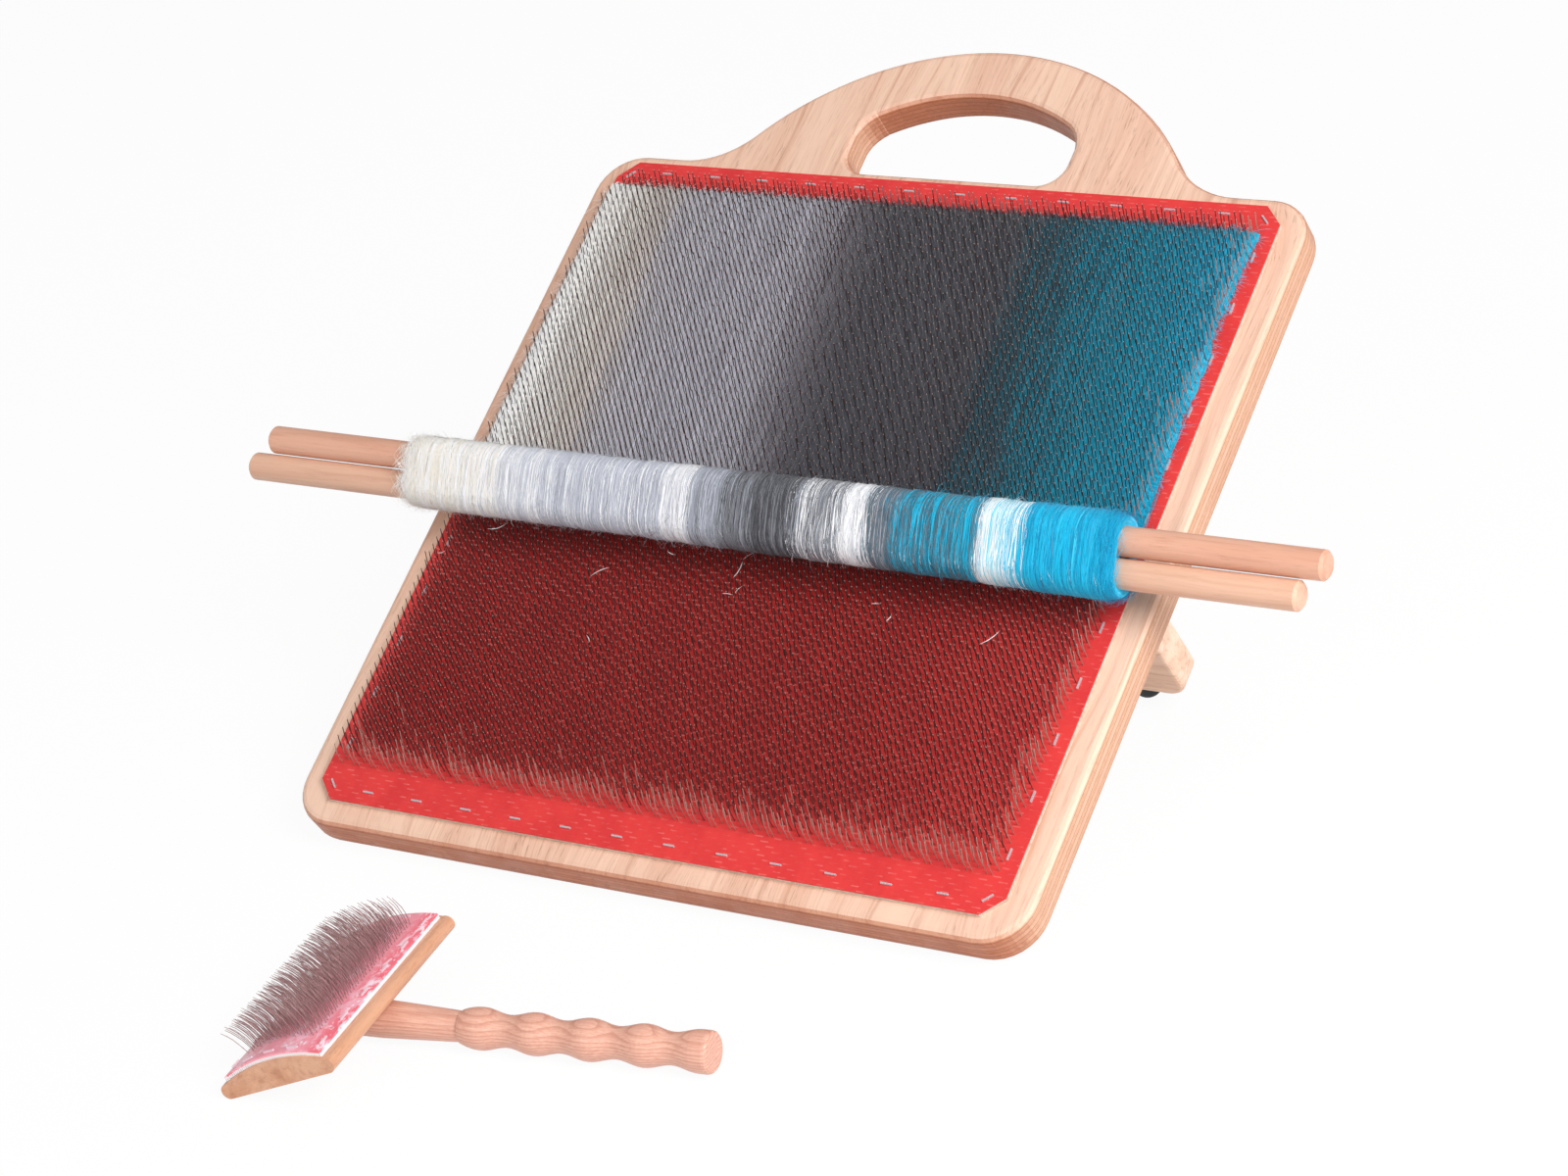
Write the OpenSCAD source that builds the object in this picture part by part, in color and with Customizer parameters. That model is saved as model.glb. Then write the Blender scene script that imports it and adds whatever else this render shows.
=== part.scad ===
// Blending board for wool, with its folding keel, two rods and brush
// Millimetres. X runs across the board, Y away from the user, Z up.
// The origin is on the table, in the middle of the line that the board stands on.

/* [Board] */
// Width of the board
board_w = 350; // [300:5:420]
// Height of the board from its bottom edge to its shoulders
board_h = 347; // [300:1:420]
// Thickness of the plywood
board_t = 16; // [12:1:22]
// Radius of the board's four corners
corner_r = 20; // [14:1:30]
// Rounding of every long edge
edge_r = 3; // [1.5:0.5:4]
// Radius of the carrying handle's arch
dome_r = 131.4; // [115:0.2:135]
// Height of the arch above the shoulders
dome_rise = 68; // [62:1:80]
// Radius of the hollow where the arch meets a shoulder
fillet_r = 40; // [24:1:44]

/* [Hand slot] */
// Width of the hand slot
slot_w = 108; // [90:1:120]
// Height of the hand slot
slot_h = 44; // [34:1:46]
// Radius of the slot's lower corners
slot_low_r = 12; // [8:1:16]
// Radius of the slot's upper corners
slot_high_r = 16; // [9:1:20]
// Radius of the slot's top arch
slot_arch_r = 92; // [80:1:110]
// Drop of the slot's floor below the shoulders
slot_drop = 1; // [0:0.5:6]

/* [Carding cloth] */
// Distance from the board's sides to the cloth
cloth_side = 11.5; // [7.5:0.5:30]
// Distance from the board's shoulders down to the cloth
cloth_drop = 6; // [4:0.5:30]
// Bare wood below the cloth
cloth_y = 10.4; // [8:0.2:14]
// Cut off each corner of the cloth
cloth_cut = 8.5; // [4:0.5:12]
// Thickness of the woven base
base_t = 1.7; // [1:0.1:2.5]
// Thickness of the rubber face
face_t = 0.8; // [0.5:0.1:1.2]
// Pitch of the staples along an edge
staple_pitch = 26; // [18:1:40]
// Width of a staple's crown
crown_w = 5; // [4:0.5:8]
// Distance of the staples from the cloth's edge
staple_in = 5.5; // [4:0.5:8]
// Thickness of the staple wire
staple_wire = 0.7; // [0.5:0.1:1]
// Length of a staple's legs
staple_leg = 8; // [6:0.5:10]

/* [Carding pins] */
// Bare cloth above the field
pins_over = 9.6; // [8:0.2:20]
// Distance from the field to the cloth's right edge
pins_right = 12; // [8:0.5:20]
// Bare cloth below the field
pins_y = 16; // [12:1:20]
// Distance from the cloth's left edge to the field
pins_x = 9; // [8:0.5:14]
// Height of a pin's tip above the cloth
pin_h = 10.2; // [8:0.2:12]
// Height of a pin's knee above the cloth
knee_h = 5.6; // [4:0.2:7]
// Pitch of the pins that stand for the dense field
pin_pitch = 16.6; // [16:0.2:26]
// Radius of a pin
pin_r = 0.45; // [0.3:0.05:0.6]
// Lean of a pin's foot in degrees
foot_lean = 12; // [0:1:25]
// Lean of a pin's point in degrees
tip_lean = 32; // [15:1:40]

/* [Fibre on the board] */
// Height of the fibre's loft above the cloth
batt_h = 4.4; // [3.8:0.2:9]
// Length of the fibre layer up the board
batt_l = 164; // [120:1:172]

/* [Keel] */
// Width of the keel
keel_w = 296; // [240:2:320]
// Thickness of the keel
keel_t = 14.7; // [12:0.1:18]
// Depth of the keel behind the board
keel_d = 81.2; // [66:0.2:100]
// Height of the keel's middle up the board
keel_y = 173.4; // [150:0.2:200]
// Radius of the keel's lower corners
keel_r = 9; // [4:0.5:14]
// Width of the tongue between the hinge blocks
tongue_w = 200; // [150:2:210]
// Rounding of the keel's edges
keel_edge = 2; // [1:0.5:3]
// Radius of a rubber foot
foot_r = 6.5; // [5:0.1:7]
// Height of a foot's straight part
foot_base = 5.1; // [3:0.1:7]
// Distance of a foot from the keel's end
foot_in = 24; // [14:1:40]
// Radius of the stem that holds a foot in its hole
stem_r = 2.5; // [2:0.1:3.5]
// Length of that stem
stem_l = 9; // [6:0.5:14]

/* [Hinge] */
// Distance of the hinge axis behind the board
pivot_d = 17; // [16:0.5:20]
// Radius of a hinge block's nose
nose_r = 15; // [13:0.5:16]
// Width of a hinge block
block_w = 24; // [18:1:30]
// Radius of the wing bolts
bolt_r = 3; // [2.5:0.1:3.2]
// Outer radius of a threaded insert
insert_r = 4.4; // [4.1:0.1:5]
// Length of a threaded insert
insert_l = 14; // [10:1:18]
// Reach of a bolt's wings from its axis
wing_reach = 13; // [10:0.5:13.5]
// Thickness of a washer
washer_t = 1.6; // [1:0.1:2]
// Outer radius of a washer
washer_r = 7; // [6:0.5:9]
// Radius of the screws that hold the hinge blocks
screw_r = 2; // [1.5:0.1:2.5]
// Depth of those screws in a hinge block
screw_bite = 20; // [12:1:24]
// Distance of those screws from the hinge axis
screw_off = 9; // [8:0.5:10]

/* [Rods and wool] */
// Length of a rod
rod_l = 504; // [440:2:560]
// Radius of a rod
rod_r = 6; // [5:0.5:7]
// Gap between the two rods
rod_gap = 0.4; // [0.3:0.1:1]
// Slant of the pair against the board in degrees
pair_slant = 29.7; // [0:0.1:45]
// Height of the lower rod's middle up the board
rod_y = 150.6; // [60:0.2:240]
// Height of the lower rod's middle above the board's back
rod_z = 39.5; // [39:0.1:46]
// Sideways place of the upper rod
upper_x = 2.6; // [-30:0.2:30]
// Sideways place of the lower rod
lower_x = -6.4; // [-30:0.2:30]
// Length of the wool on the rods
wool_l = 342; // [240:2:380]
// Outer radius of the wool's core round each rod
core_r = 7.6; // [7.2:0.1:7.8]
// Rise of the wool against the rods
wool_rise = 0.6; // [0.3:0.1:0.8]
// Gap between a rod and the wool's core
rod_fit = 0.15; // [0.1:0.05:0.2]
// Radius of the outer layer of roving
roving_r = 1.6; // [1:0.1:1.6]
// Gap between that layer and the core
roving_gap = 0.3; // [0.2:0.1:0.5]
// Turns of the outer layer
turns = 24; // [10:1:24]

/* [Brush] */
// Width of the brush head
head_w = 57; // [48:1:64]
// Length of the brush head
head_l = 97; // [80:1:130]
// Thickness of the head at its long edges
head_edge = 6.4; // [5:0.2:9]
// Thickness of the head in its middle
head_mid = 11; // [9.5:0.2:15]
// Slope of the head when the handle lies flat, in degrees
head_slope = 20; // [16:0.5:25]
// Radius of the handle's beads
bead_r = 8.2; // [7.8:0.1:9]
// Radius of the waists between the beads
waist_r = 6.2; // [4.5:0.1:6.5]
// Pitch of the beads
bead_pitch = 23; // [18:0.5:26]
// Number of beads
beads = 5; // [3:1:6]
// Place of the first bead from the head's axis point
bead_first = 62.4; // [60:0.2:70]
// Start of the thick grip
grip_start = 54.5; // [50:0.5:57]
// Radius of the neck at the head
neck_r = 7.4; // [5.5:0.1:7.6]
// Radius of the neck at the grip
neck_end_r = 5.9; // [4.5:0.1:6.5]
// Radius of the peg between head and neck
peg_r = 3; // [2:0.25:3]
// Inset of the brush's cloth from the head's long edges
pad_side = 4; // [3.5:0.5:9]
// Inset of the brush's cloth from the head's ends
pad_end = 1.5; // [1:0.5:6]
// Thickness of the brush's woven base
pad_base_t = 1.3; // [0.8:0.1:2]
// Thickness of the brush's rubber face
pad_face_t = 0.7; // [0.5:0.1:1.2]
// Length of a bristle
bristle_h = 13; // [9:0.5:16]
// Pitch of the bristles along the head
bristle_pitch = 7.8; // [7:0.2:14]
// Rows of bristles across the head
bristle_rows = 6; // [4:1:6]
// Sideways place of the brush on the table
brush_x = -63.5; // [-80:0.5:0]
// Place of the brush in front of the board
brush_y = -116.5; // [-180:0.5:-108]
// Turn of the brush on the table in degrees
brush_turn = 8; // [-10:0.1:30]

/* [Hidden] */
$fn = 96;

// Room between pieces
slide_gap = 0.3;
bolt_gap = 0.1;
glue_gap = 0.05;
over = 1;

// Tilt at which the rounded bottom edge and the domed feet both meet the table
keel_reach = keel_y - edge_r;
foot_drop = keel_d + foot_base + edge_r;
tilt = atan2(foot_drop, keel_reach) + asin((foot_r - edge_r) / norm([keel_reach, foot_drop]));
stand_lift = edge_r - edge_r * (sin(tilt) + cos(tilt));

// Board outline
dome_drop = dome_r - dome_rise;
fillet_x = sqrt(pow(dome_r + fillet_r, 2) - pow(fillet_r + dome_drop, 2));

// Steps round each curve of the board and the keel, where a ball rounds their edges
corner_steps = 32;
fillet_steps = 64;
arch_steps = 128;
ball_steps = 16;
ball_rings = 3;

// Hand slot outline, from the slot's floor
slot_y = board_h - slot_drop;
slot_high_x = slot_w / 2 - slot_high_r;
slot_arch_y = slot_h - slot_arch_r;
slot_high_y = slot_arch_y + sqrt(pow(slot_arch_r - slot_high_r, 2) - pow(slot_high_x, 2));

// Cloth and pins
cloth_w = board_w - 2 * cloth_side;
cloth_h = board_h - cloth_y - cloth_drop;
cloth_top = board_t + base_t + face_t;
slice_t = 0.4;
pins_left = -cloth_w / 2 + pins_x;
pins_bottom = cloth_y + pins_y;
pins_w = cloth_w - pins_x - pins_right;
pins_h = cloth_h - pins_y - pins_over;
strand_sides = 3;
pin_columns = floor((pins_w - pin_pitch / 2 - 2 * pin_r) / pin_pitch) + 1;
pin_rows = floor((pins_h - 3 * pin_r) / pin_pitch) + 1;
pin_margin = (pins_w - (pin_columns - 0.5) * pin_pitch) / 2;
knee_lean = knee_h * tan(foot_lean);
batt_loft = 3;
batt_rim = 1;
batt_drop = 5;

// Keel hinge
block_x = tongue_w / 2 + slide_gap;
nose_room = 2;
tongue_over = 10;
keel_shoulder = pivot_d + nose_r + nose_room;
tongue_end = pivot_d - tongue_over;
wing_t = 2.6;
hub_r = 5.5;
hub_l = 7;
head_flange = 1.2;
screw_head_r = 2 * screw_r;
bolt_l = washer_t + block_w + slide_gap + insert_l;

// Rods and wool
pair_half = rod_r + rod_gap / 2;
upper_y = rod_y + 2 * pair_half * cos(pair_slant);
upper_z = rod_z + 2 * pair_half * sin(pair_slant);
pair_y = (rod_y + upper_y) / 2;
pair_z = (rod_z + upper_z) / 2;

// The roving winds round both rods, with straight ends one tube's width long
roving_rings = 15;
roving_sides = 6;
roving_path_r = core_r + roving_gap + roving_r;
roving_pitch = (wool_l - 4 * roving_r) / turns;
roving_arc = PI * roving_path_r;
roving_turn = 4 * pair_half + 2 * roving_arc;
roving_steps = turns * roving_rings;
roving_start = pair_half / roving_turn;
roving_line = [for (i = [0:roving_steps]) roving_place(roving_start + i / roving_rings)];
roving_run = 2 * roving_r * unit(roving_line[1][0] - roving_line[0][0]);
roving_path = concat(
    [[roving_line[0][0] - roving_run, roving_line[0][1]]],
    roving_line,
    [[roving_line[roving_steps][0] + roving_run, roving_line[roving_steps][1]]]
);
roving_least_gap = min([
    for (i = [0:roving_steps], j = [i + ceil(roving_rings / 2):i + 2 * roving_rings])
        if (j <= roving_steps) norm(roving_line[i][0] - roving_line[j][0]) - 2 * roving_r
]);
rod_nose = 1.2;

// Brush
head_r = head_edge / 2;
head_arch_r = (pow(head_w / 2 - head_r, 2) + pow(head_mid - head_edge, 2)) / (2 * (head_mid - head_edge));
head_arch_z = head_mid - head_arch_r;
axis_in = head_r + (bead_r - head_r * (1 - cos(head_slope))) / sin(head_slope);
bead_last = bead_first + (beads - 1) * bead_pitch;
bead_steps = 12;
handle_past = 5.4;
handle_end = bead_last + handle_past;
handle_round = 2;
neck_start = -11;
neck_taper = 20;
shoulder_drop = 1.5;
shoulder_steps = 5;
peg_in = axis_in + 4;
peg_up = 6;
peg_down = 5;
pad_r = head_arch_r + pad_base_t;
pad_half = head_w / 2 - pad_side;
slice_side = 3;
slice_end = 5;
bristle_side = 8;
bristle_end = 10;
bristle_knee = 0.45;
bristle_sweep = asin((pad_half - bristle_side) / pad_r);
bristle_count = floor((head_l - 2 * (pad_end + bristle_end)) / bristle_pitch) + 1;
brush_staple_count = 6;
brush_staple_leg = 5;
brush_staple_side = 2.2;
brush_staple_end = 2.5;
brush_staple_first = 7;

// Placing

module on_board() {
    translate([0, 0, stand_lift])
        rotate([tilt, 0, 0])
            children();
}

module on_table() {
    translate([brush_x, brush_y, bead_r])
        rotate([0, 0, brush_turn])
            children();
}

module on_head() {
    on_table()
        rotate([0, -head_slope, 0])
            translate([-axis_in, 0, 0])
                children();
}

module both_sides() {
    children();
    mirror([1, 0, 0])
        children();
}

// Turns a drawing in the Y and Z directions into a solid that runs along X
module along_x(length) {
    rotate([90, 0, 90])
        linear_extrude(length)
            children();
}

module outline() {
    low = corner_r;
    high = board_h - corner_r;
    side = board_w / 2 - corner_r;
    translate([-side, 0])
        square([2 * side, board_h]);
    translate([-board_w / 2, low])
        square([board_w, high - low]);
    for (x = [-side, side], y = [low, high])
        translate([x, y])
            circle(corner_r, $fn = corner_steps);
    translate([0, board_h - dome_drop])
        circle(dome_r, $fn = arch_steps);
    both_sides()
        difference() {
            polygon([
                [0, board_h - dome_drop],
                [fillet_x, board_h - dome_drop],
                [fillet_x, board_h + fillet_r]
            ]);
            translate([fillet_x, board_h + fillet_r])
                circle(fillet_r, $fn = fillet_steps);
        }
}

module slot_outline() {
    low_x = slot_w / 2 - slot_low_r;
    translate([0, slot_y]) {
        intersection() {
            translate([0, slot_arch_y])
                circle(slot_arch_r, $fn = arch_steps);
            polygon([
                [-slot_high_x, slot_high_y],
                [slot_high_x, slot_high_y],
                [2 * slot_high_x, 2 * slot_high_y - slot_arch_y],
                [-2 * slot_high_x, 2 * slot_high_y - slot_arch_y]
            ]);
        }
        for (x = [-slot_high_x, slot_high_x])
            translate([x, slot_high_y])
                circle(slot_high_r, $fn = corner_steps);
        for (x = [-low_x, low_x])
            translate([x, slot_low_r])
                circle(slot_low_r, $fn = corner_steps);
        translate([-low_x, 0])
            square([2 * low_x, slot_high_y]);
        translate([-slot_w / 2, slot_low_r])
            square([slot_w, slot_high_y - slot_low_r]);
    }
}

module edge_ball(r) {
    rotate_extrude($fn = ball_steps)
        polygon([
            for (i = [-ball_rings:ball_rings])
                r * [cos(90 * i / ball_rings), sin(90 * i / ball_rings)]
        ]);
}

// Plate with the outline of its children and rounded rims: a ball rolls over a smaller plate
module rounded_plate(t, r) {
    minkowski() {
        translate([0, 0, r])
            linear_extrude(t - 2 * r)
                offset(delta = -r)
                    children();
        edge_ball(r);
    }
}

module screw_places() {
    both_sides()
        for (y = [-screw_off, screw_off])
            translate([block_x + block_w / 2, keel_y + y, 0])
                children();
}

module screw_form(gap) {
    cone = screw_head_r - screw_r;
    translate([0, 0, -screw_bite])
        cylinder(r = screw_r + gap, h = screw_bite + board_t);
    translate([0, 0, board_t - cone])
        cylinder(r1 = screw_r + gap, r2 = screw_head_r + gap, h = cone);
}

module board() {
    color("burlywood")
        on_board()
            difference() {
                rounded_plate(board_t, edge_r)
                    difference() {
                        outline();
                        slot_outline();
                    }
                screw_places()
                    screw_form(bolt_gap);
            }
}

// Carding cloth

module cloth_outline() {
    x = cloth_w / 2;
    y0 = cloth_y;
    y1 = cloth_y + cloth_h;
    polygon([
        [cloth_cut - x, y0], [x - cloth_cut, y0], [x, y0 + cloth_cut], [x, y1 - cloth_cut],
        [x - cloth_cut, y1], [cloth_cut - x, y1], [-x, y1 - cloth_cut], [-x, y0 + cloth_cut]
    ]);
}

module pin_slice() {
    translate([pins_left, pins_bottom, board_t + base_t - slice_t])
        cube([pins_w, pins_h, slice_t]);
}

module cloth_base() {
    color("tan")
        on_board()
            difference() {
                translate([0, 0, board_t])
                    linear_extrude(base_t)
                        cloth_outline();
                pin_slice();
            }
}

module cloth_face() {
    color("crimson")
        on_board()
            translate([0, 0, board_t + base_t])
                linear_extrude(face_t)
                    cloth_outline();
}

// A strand is a bent wire through its foot and knee, drawn out to a point
function strand_points(path, r) = concat(
    [
        for (p = [path[0], path[1]], k = [0:strand_sides - 1])
            p + r * [cos(360 * k / strand_sides), sin(360 * k / strand_sides), 0]
    ],
    [path[2]]
);

function strand_faces(first) = concat(
    [[for (k = [0:strand_sides - 1]) first + k]],
    [
        for (k = [0:strand_sides - 1])
            let (a = first + k, b = first + (k + 1) % strand_sides)
                each [
                    [a, a + strand_sides, b + strand_sides],
                    [a, b + strand_sides, b],
                    [a + strand_sides, first + 2 * strand_sides, b + strand_sides]
                ]
    ]
);

function tube_faces(rings, sides, first) = concat(
    [[for (k = [0:sides - 1]) first + k]],
    [
        for (j = [0:rings - 2], k = [0:sides - 1])
            let (a = first + j * sides + k, b = first + j * sides + (k + 1) % sides)
                [a, a + sides, b + sides]
    ],
    [
        for (j = [0:rings - 2], k = [0:sides - 1])
            let (a = first + j * sides + k, b = first + j * sides + (k + 1) % sides)
                [a, b + sides, b]
    ],
    [[for (k = [sides - 1:-1:0]) first + (rings - 1) * sides + k]]
);

module strands(paths, r) {
    per = 2 * strand_sides + 1;
    polyhedron(
        points = [for (path = paths) each strand_points(path, r)],
        faces = [for (i = [0:len(paths) - 1]) each strand_faces(i * per)]
    );
}

function pin_path(i, j) =
    let (
        x = pins_left + pin_margin + (i + (j % 2) / 2) * pin_pitch,
        y = pins_bottom + 2 * pin_r + j * pin_pitch,
        root = board_t + base_t - slice_t / 2
    )
    [
        [x, y, root],
        [x, y + knee_lean, cloth_top + knee_h],
        [x, y + knee_lean + (pin_h - knee_h) * tan(tip_lean), cloth_top + pin_h]
    ];

module carding_pins() {
    color("silver")
        on_board() {
            pin_slice();
            strands([for (j = [0:pin_rows - 1], i = [0:pin_columns - 1]) pin_path(i, j)], pin_r);
        }
}

module staple(leg) {
    translate([-crown_w / 2, -staple_wire / 2, 0])
        cube([crown_w, staple_wire, staple_wire]);
    for (x = [-crown_w / 2, crown_w / 2 - staple_wire])
        translate([x, -staple_wire / 2, -leg])
            cube([staple_wire, staple_wire, leg + staple_wire / 2]);
}

// Staples along a straight line, evenly spaced between its ends
module staple_line(length, leg) {
    count = round(length / staple_pitch);
    for (i = [0:count - 1])
        translate([(i + 0.5) * length / count - length / 2, 0, 0])
            staple(leg);
}

module cloth_staples() {
    x = cloth_w / 2 - staple_in;
    y = cloth_h / 2 - staple_in;
    cut = (cloth_cut + staple_in) / 2;
    color("gainsboro")
        on_board()
            translate([0, cloth_y + cloth_h / 2, cloth_top]) {
                for (turn = [0, 180])
                    rotate([0, 0, turn]) {
                        translate([0, y, 0])
                            staple_line(cloth_w - 2 * cloth_cut - 2 * crown_w, staple_leg);
                        translate([x, 0, 0])
                            rotate([0, 0, 90])
                                staple_line(cloth_h - 2 * cloth_cut - 2 * crown_w, staple_leg);
                    }
                for (sx = [-1, 1], sy = [-1, 1])
                    translate([sx * (cloth_w / 2 - cut), sy * (cloth_h / 2 - cut), 0])
                        rotate([0, 0, -45 * sx * sy])
                            staple(staple_leg);
            }
}

module fibre_batt() {
    top = pins_bottom + pins_h - batt_drop;
    low = top - batt_l;
    color("slategray")
        on_board()
            hull()
                for (level = [[batt_loft, slide_gap], [2 * batt_loft, batt_h - batt_rim]])
                    for (x = [pins_left + level[0], pins_left + pins_w - level[0]])
                        for (y = [low + level[0], top - level[0]])
                            translate([x, y, cloth_top + level[1]])
                                cylinder(r = batt_loft, h = batt_rim, $fn = corner_steps);
}

// Hinge

module hinge_block() {
    color("wheat")
        on_board()
            difference() {
                translate([block_x, keel_y, 0])
                    along_x(block_w) {
                        translate([0, -pivot_d])
                            circle(nose_r);
                        translate([-nose_r, -pivot_d])
                            square([2 * nose_r, pivot_d]);
                    }
                translate([0, keel_y, -pivot_d])
                    rotate([0, 90, 0])
                        cylinder(r = bolt_r + bolt_gap, h = block_x + block_w + over);
                screw_places()
                    translate([0, 0, -screw_bite - bolt_gap])
                        cylinder(r = screw_r + glue_gap, h = screw_bite + over);
            }
}

module hinge_block_right() {
    hinge_block();
}

module hinge_block_left() {
    mirror([1, 0, 0])
        hinge_block();
}

module block_screws() {
    color("silver")
        on_board()
            screw_places()
                screw_form(0);
}

module washers() {
    color("silver")
        on_board()
            both_sides()
                translate([block_x + block_w, keel_y, -pivot_d])
                    rotate([0, 90, 0])
                        difference() {
                            cylinder(r = washer_r, h = washer_t);
                            translate([0, 0, -over])
                                cylinder(r = bolt_r + 2 * bolt_gap, h = washer_t + 2 * over);
                        }
}

module thread_inserts() {
    color("darkgoldenrod")
        on_board()
            both_sides()
                translate([tongue_w / 2 - insert_l, keel_y, -pivot_d])
                    rotate([0, 90, 0])
                        difference() {
                            cylinder(r = insert_r, h = insert_l);
                            translate([0, 0, -over])
                                cylinder(r = bolt_r + bolt_gap, h = insert_l + 2 * over);
                        }
}

module wing() {
    tip_r = 3.6;
    linear_extrude(wing_t, center = true) {
        polygon([
            [head_flange, 0], [hub_l, 0],
            [hub_l + tip_r, wing_reach - tip_r], [hub_l - tip_r, wing_reach - tip_r]
        ]);
        translate([hub_l, wing_reach - tip_r])
            circle(tip_r);
    }
}

module wing_bolt() {
    color("silver")
        on_board()
            translate([block_x + block_w + washer_t + bolt_gap, keel_y, -pivot_d]) {
                rotate([0, -90, 0])
                    cylinder(r = bolt_r, h = bolt_l);
                rotate([0, 90, 0])
                    cylinder(r = hub_r, h = hub_l);
                rotate([0, 90, 0])
                    cylinder(r = hub_r + head_flange, h = head_flange);
                for (turn = [0, 180])
                    rotate([90 + turn, 0, 0])
                        wing();
            }
}

module wing_bolt_right() {
    wing_bolt();
}

module wing_bolt_left() {
    mirror([1, 0, 0])
        wing_bolt();
}

// Keel

module keel_outline() {
    low = keel_d - keel_r;
    x = keel_w / 2 - keel_r;
    translate([-keel_w / 2, -low])
        square([keel_w, low - keel_shoulder]);
    translate([-x, -keel_d])
        square([2 * x, keel_d - keel_shoulder]);
    for (side = [-x, x])
        translate([side, -low])
            circle(keel_r, $fn = corner_steps);
    translate([-tongue_w / 2, -keel_shoulder - over])
        square([tongue_w, keel_shoulder + over - tongue_end]);
}

module foot_places() {
    both_sides()
        translate([keel_w / 2 - foot_in, keel_y, -keel_d])
            children();
}

module keel() {
    color("burlywood")
        on_board()
            difference() {
                translate([0, keel_y + keel_t / 2, 0])
                    rotate([90, 0, 0])
                        rounded_plate(keel_t, keel_edge)
                            keel_outline();
                both_sides()
                    translate([tongue_w / 2 - insert_l - over, keel_y, -pivot_d])
                        rotate([0, 90, 0])
                            cylinder(r = insert_r + glue_gap, h = insert_l + 2 * over);
                foot_places()
                    cylinder(r = stem_r + glue_gap, h = stem_l + over);
            }
}

module rubber_feet() {
    color("dimgray")
        on_board()
            foot_places()
                mirror([0, 0, 1])
                    rotate_extrude() {
                        translate([0, -stem_l])
                            square([stem_r, stem_l]);
                        square([foot_r, foot_base]);
                        translate([0, foot_base])
                            intersection() {
                                circle(foot_r);
                                square(foot_r);
                            }
                    }
}

// Rods and wool

module rod() {
    rotate([0, 90, 0])
        rotate_extrude()
            polygon([
                [0, -rod_l / 2], [rod_r - rod_nose, -rod_l / 2], [rod_r, rod_nose - rod_l / 2],
                [rod_r, rod_l / 2 - rod_nose], [rod_r - rod_nose, rod_l / 2], [0, rod_l / 2]
            ]);
}

module rod_upper() {
    color("navajowhite")
        on_board()
            translate([upper_x, upper_y, upper_z])
                rod();
}

module rod_lower() {
    color("navajowhite")
        on_board()
            translate([lower_x, rod_y, rod_z])
                rod();
}

// Round-ended outline round both rods, at a distance from their axes
module pair_outline(r) {
    rotate(pair_slant) {
        for (y = [-pair_half, pair_half])
            translate([y, 0])
                circle(r);
        translate([-pair_half, -r])
            square([2 * pair_half, 2 * r]);
    }
}

module wool_core() {
    color("lightsteelblue")
        on_board()
            translate([-wool_l / 2, pair_y, pair_z])
                along_x(wool_l)
                    difference() {
                        translate([0, wool_rise])
                            pair_outline(core_r);
                        pair_outline(rod_r + rod_fit);
                    }
}

// The roving runs round the pair: its place and outward direction at a distance s along a turn
function roving_side(s) =
    let (
        flat = 2 * pair_half,
        far = s >= flat + roving_arc,
        u = far ? s - flat - roving_arc : s,
        turn = u < flat ? 90 : 90 - (u - flat) / roving_path_r * 180 / PI,
        out = [cos(turn), sin(turn)],
        place = [min(u, flat) - pair_half, 0] + roving_path_r * out
    )
    far ? [-place, -out] : [place, out];

function roving_place(t) =
    let (at = roving_side((t - floor(t)) * roving_turn))
    [[roving_pitch * t - roving_pitch * turns / 2, at[0][0], at[0][1]], [0, at[1][0], at[1][1]]];

function unit(v) = v / norm(v);
function roving_ring(i) =
    let (
        last = len(roving_path) - 1,
        along = unit(roving_path[min(i + 1, last)][0] - roving_path[max(i - 1, 0)][0]),
        out = roving_path[i][1],
        across = unit(cross(along, out)),
        up = cross(across, along)
    )
    [
        for (k = [0:roving_sides - 1])
            roving_path[i][0]
            + roving_r * (cos(360 * k / roving_sides) * up + sin(360 * k / roving_sides) * across)
    ];

echo(least_gap_of_the_roving_to_itself = roving_least_gap);

module wool_roving() {
    rings = len(roving_path);
    color("lightcyan")
        on_board()
            translate([0, pair_y, pair_z + wool_rise])
                rotate([pair_slant, 0, 0])
                    polyhedron(
                        points = [for (i = [0:rings - 1]) each roving_ring(i)],
                        faces = tube_faces(rings, roving_sides, 0)
                    );
}

// Brush

module head_section() {
    translate([head_r, 0])
        square([head_w - 2 * head_r, 1.5 * head_r]);
    for (x = [head_r, head_w - head_r])
        translate([x, head_r])
            circle(head_r);
    intersection() {
        translate([head_w / 2, head_arch_z])
            circle(head_arch_r);
        translate([head_r / 2, head_r])
            square([head_w - head_r, head_mid]);
    }
}

// Layer that follows the head's arch, from r over a thickness, and reaches to each side
module arch_layer(r, t, half, end) {
    rotate([90, 0, 0])
        linear_extrude(head_l - 2 * end, center = true)
            intersection() {
                translate([head_w / 2, head_arch_z])
                    difference() {
                        circle(r + t);
                        circle(r);
                    }
                translate([head_w / 2 - half, 0])
                    square([2 * half, head_mid + pad_base_t + pad_face_t]);
            }
}

module brush_head() {
    color("burlywood")
        on_head()
            difference() {
                rotate([90, 0, 0])
                    linear_extrude(head_l, center = true)
                        head_section();
                translate([peg_in, 0, -over])
                    cylinder(r = peg_r + glue_gap, h = peg_up + over + bolt_gap);
            }
}

module bristle_slice() {
    arch_layer(pad_r - slice_t, slice_t, pad_half - slice_side, pad_end + slice_end);
}

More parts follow.
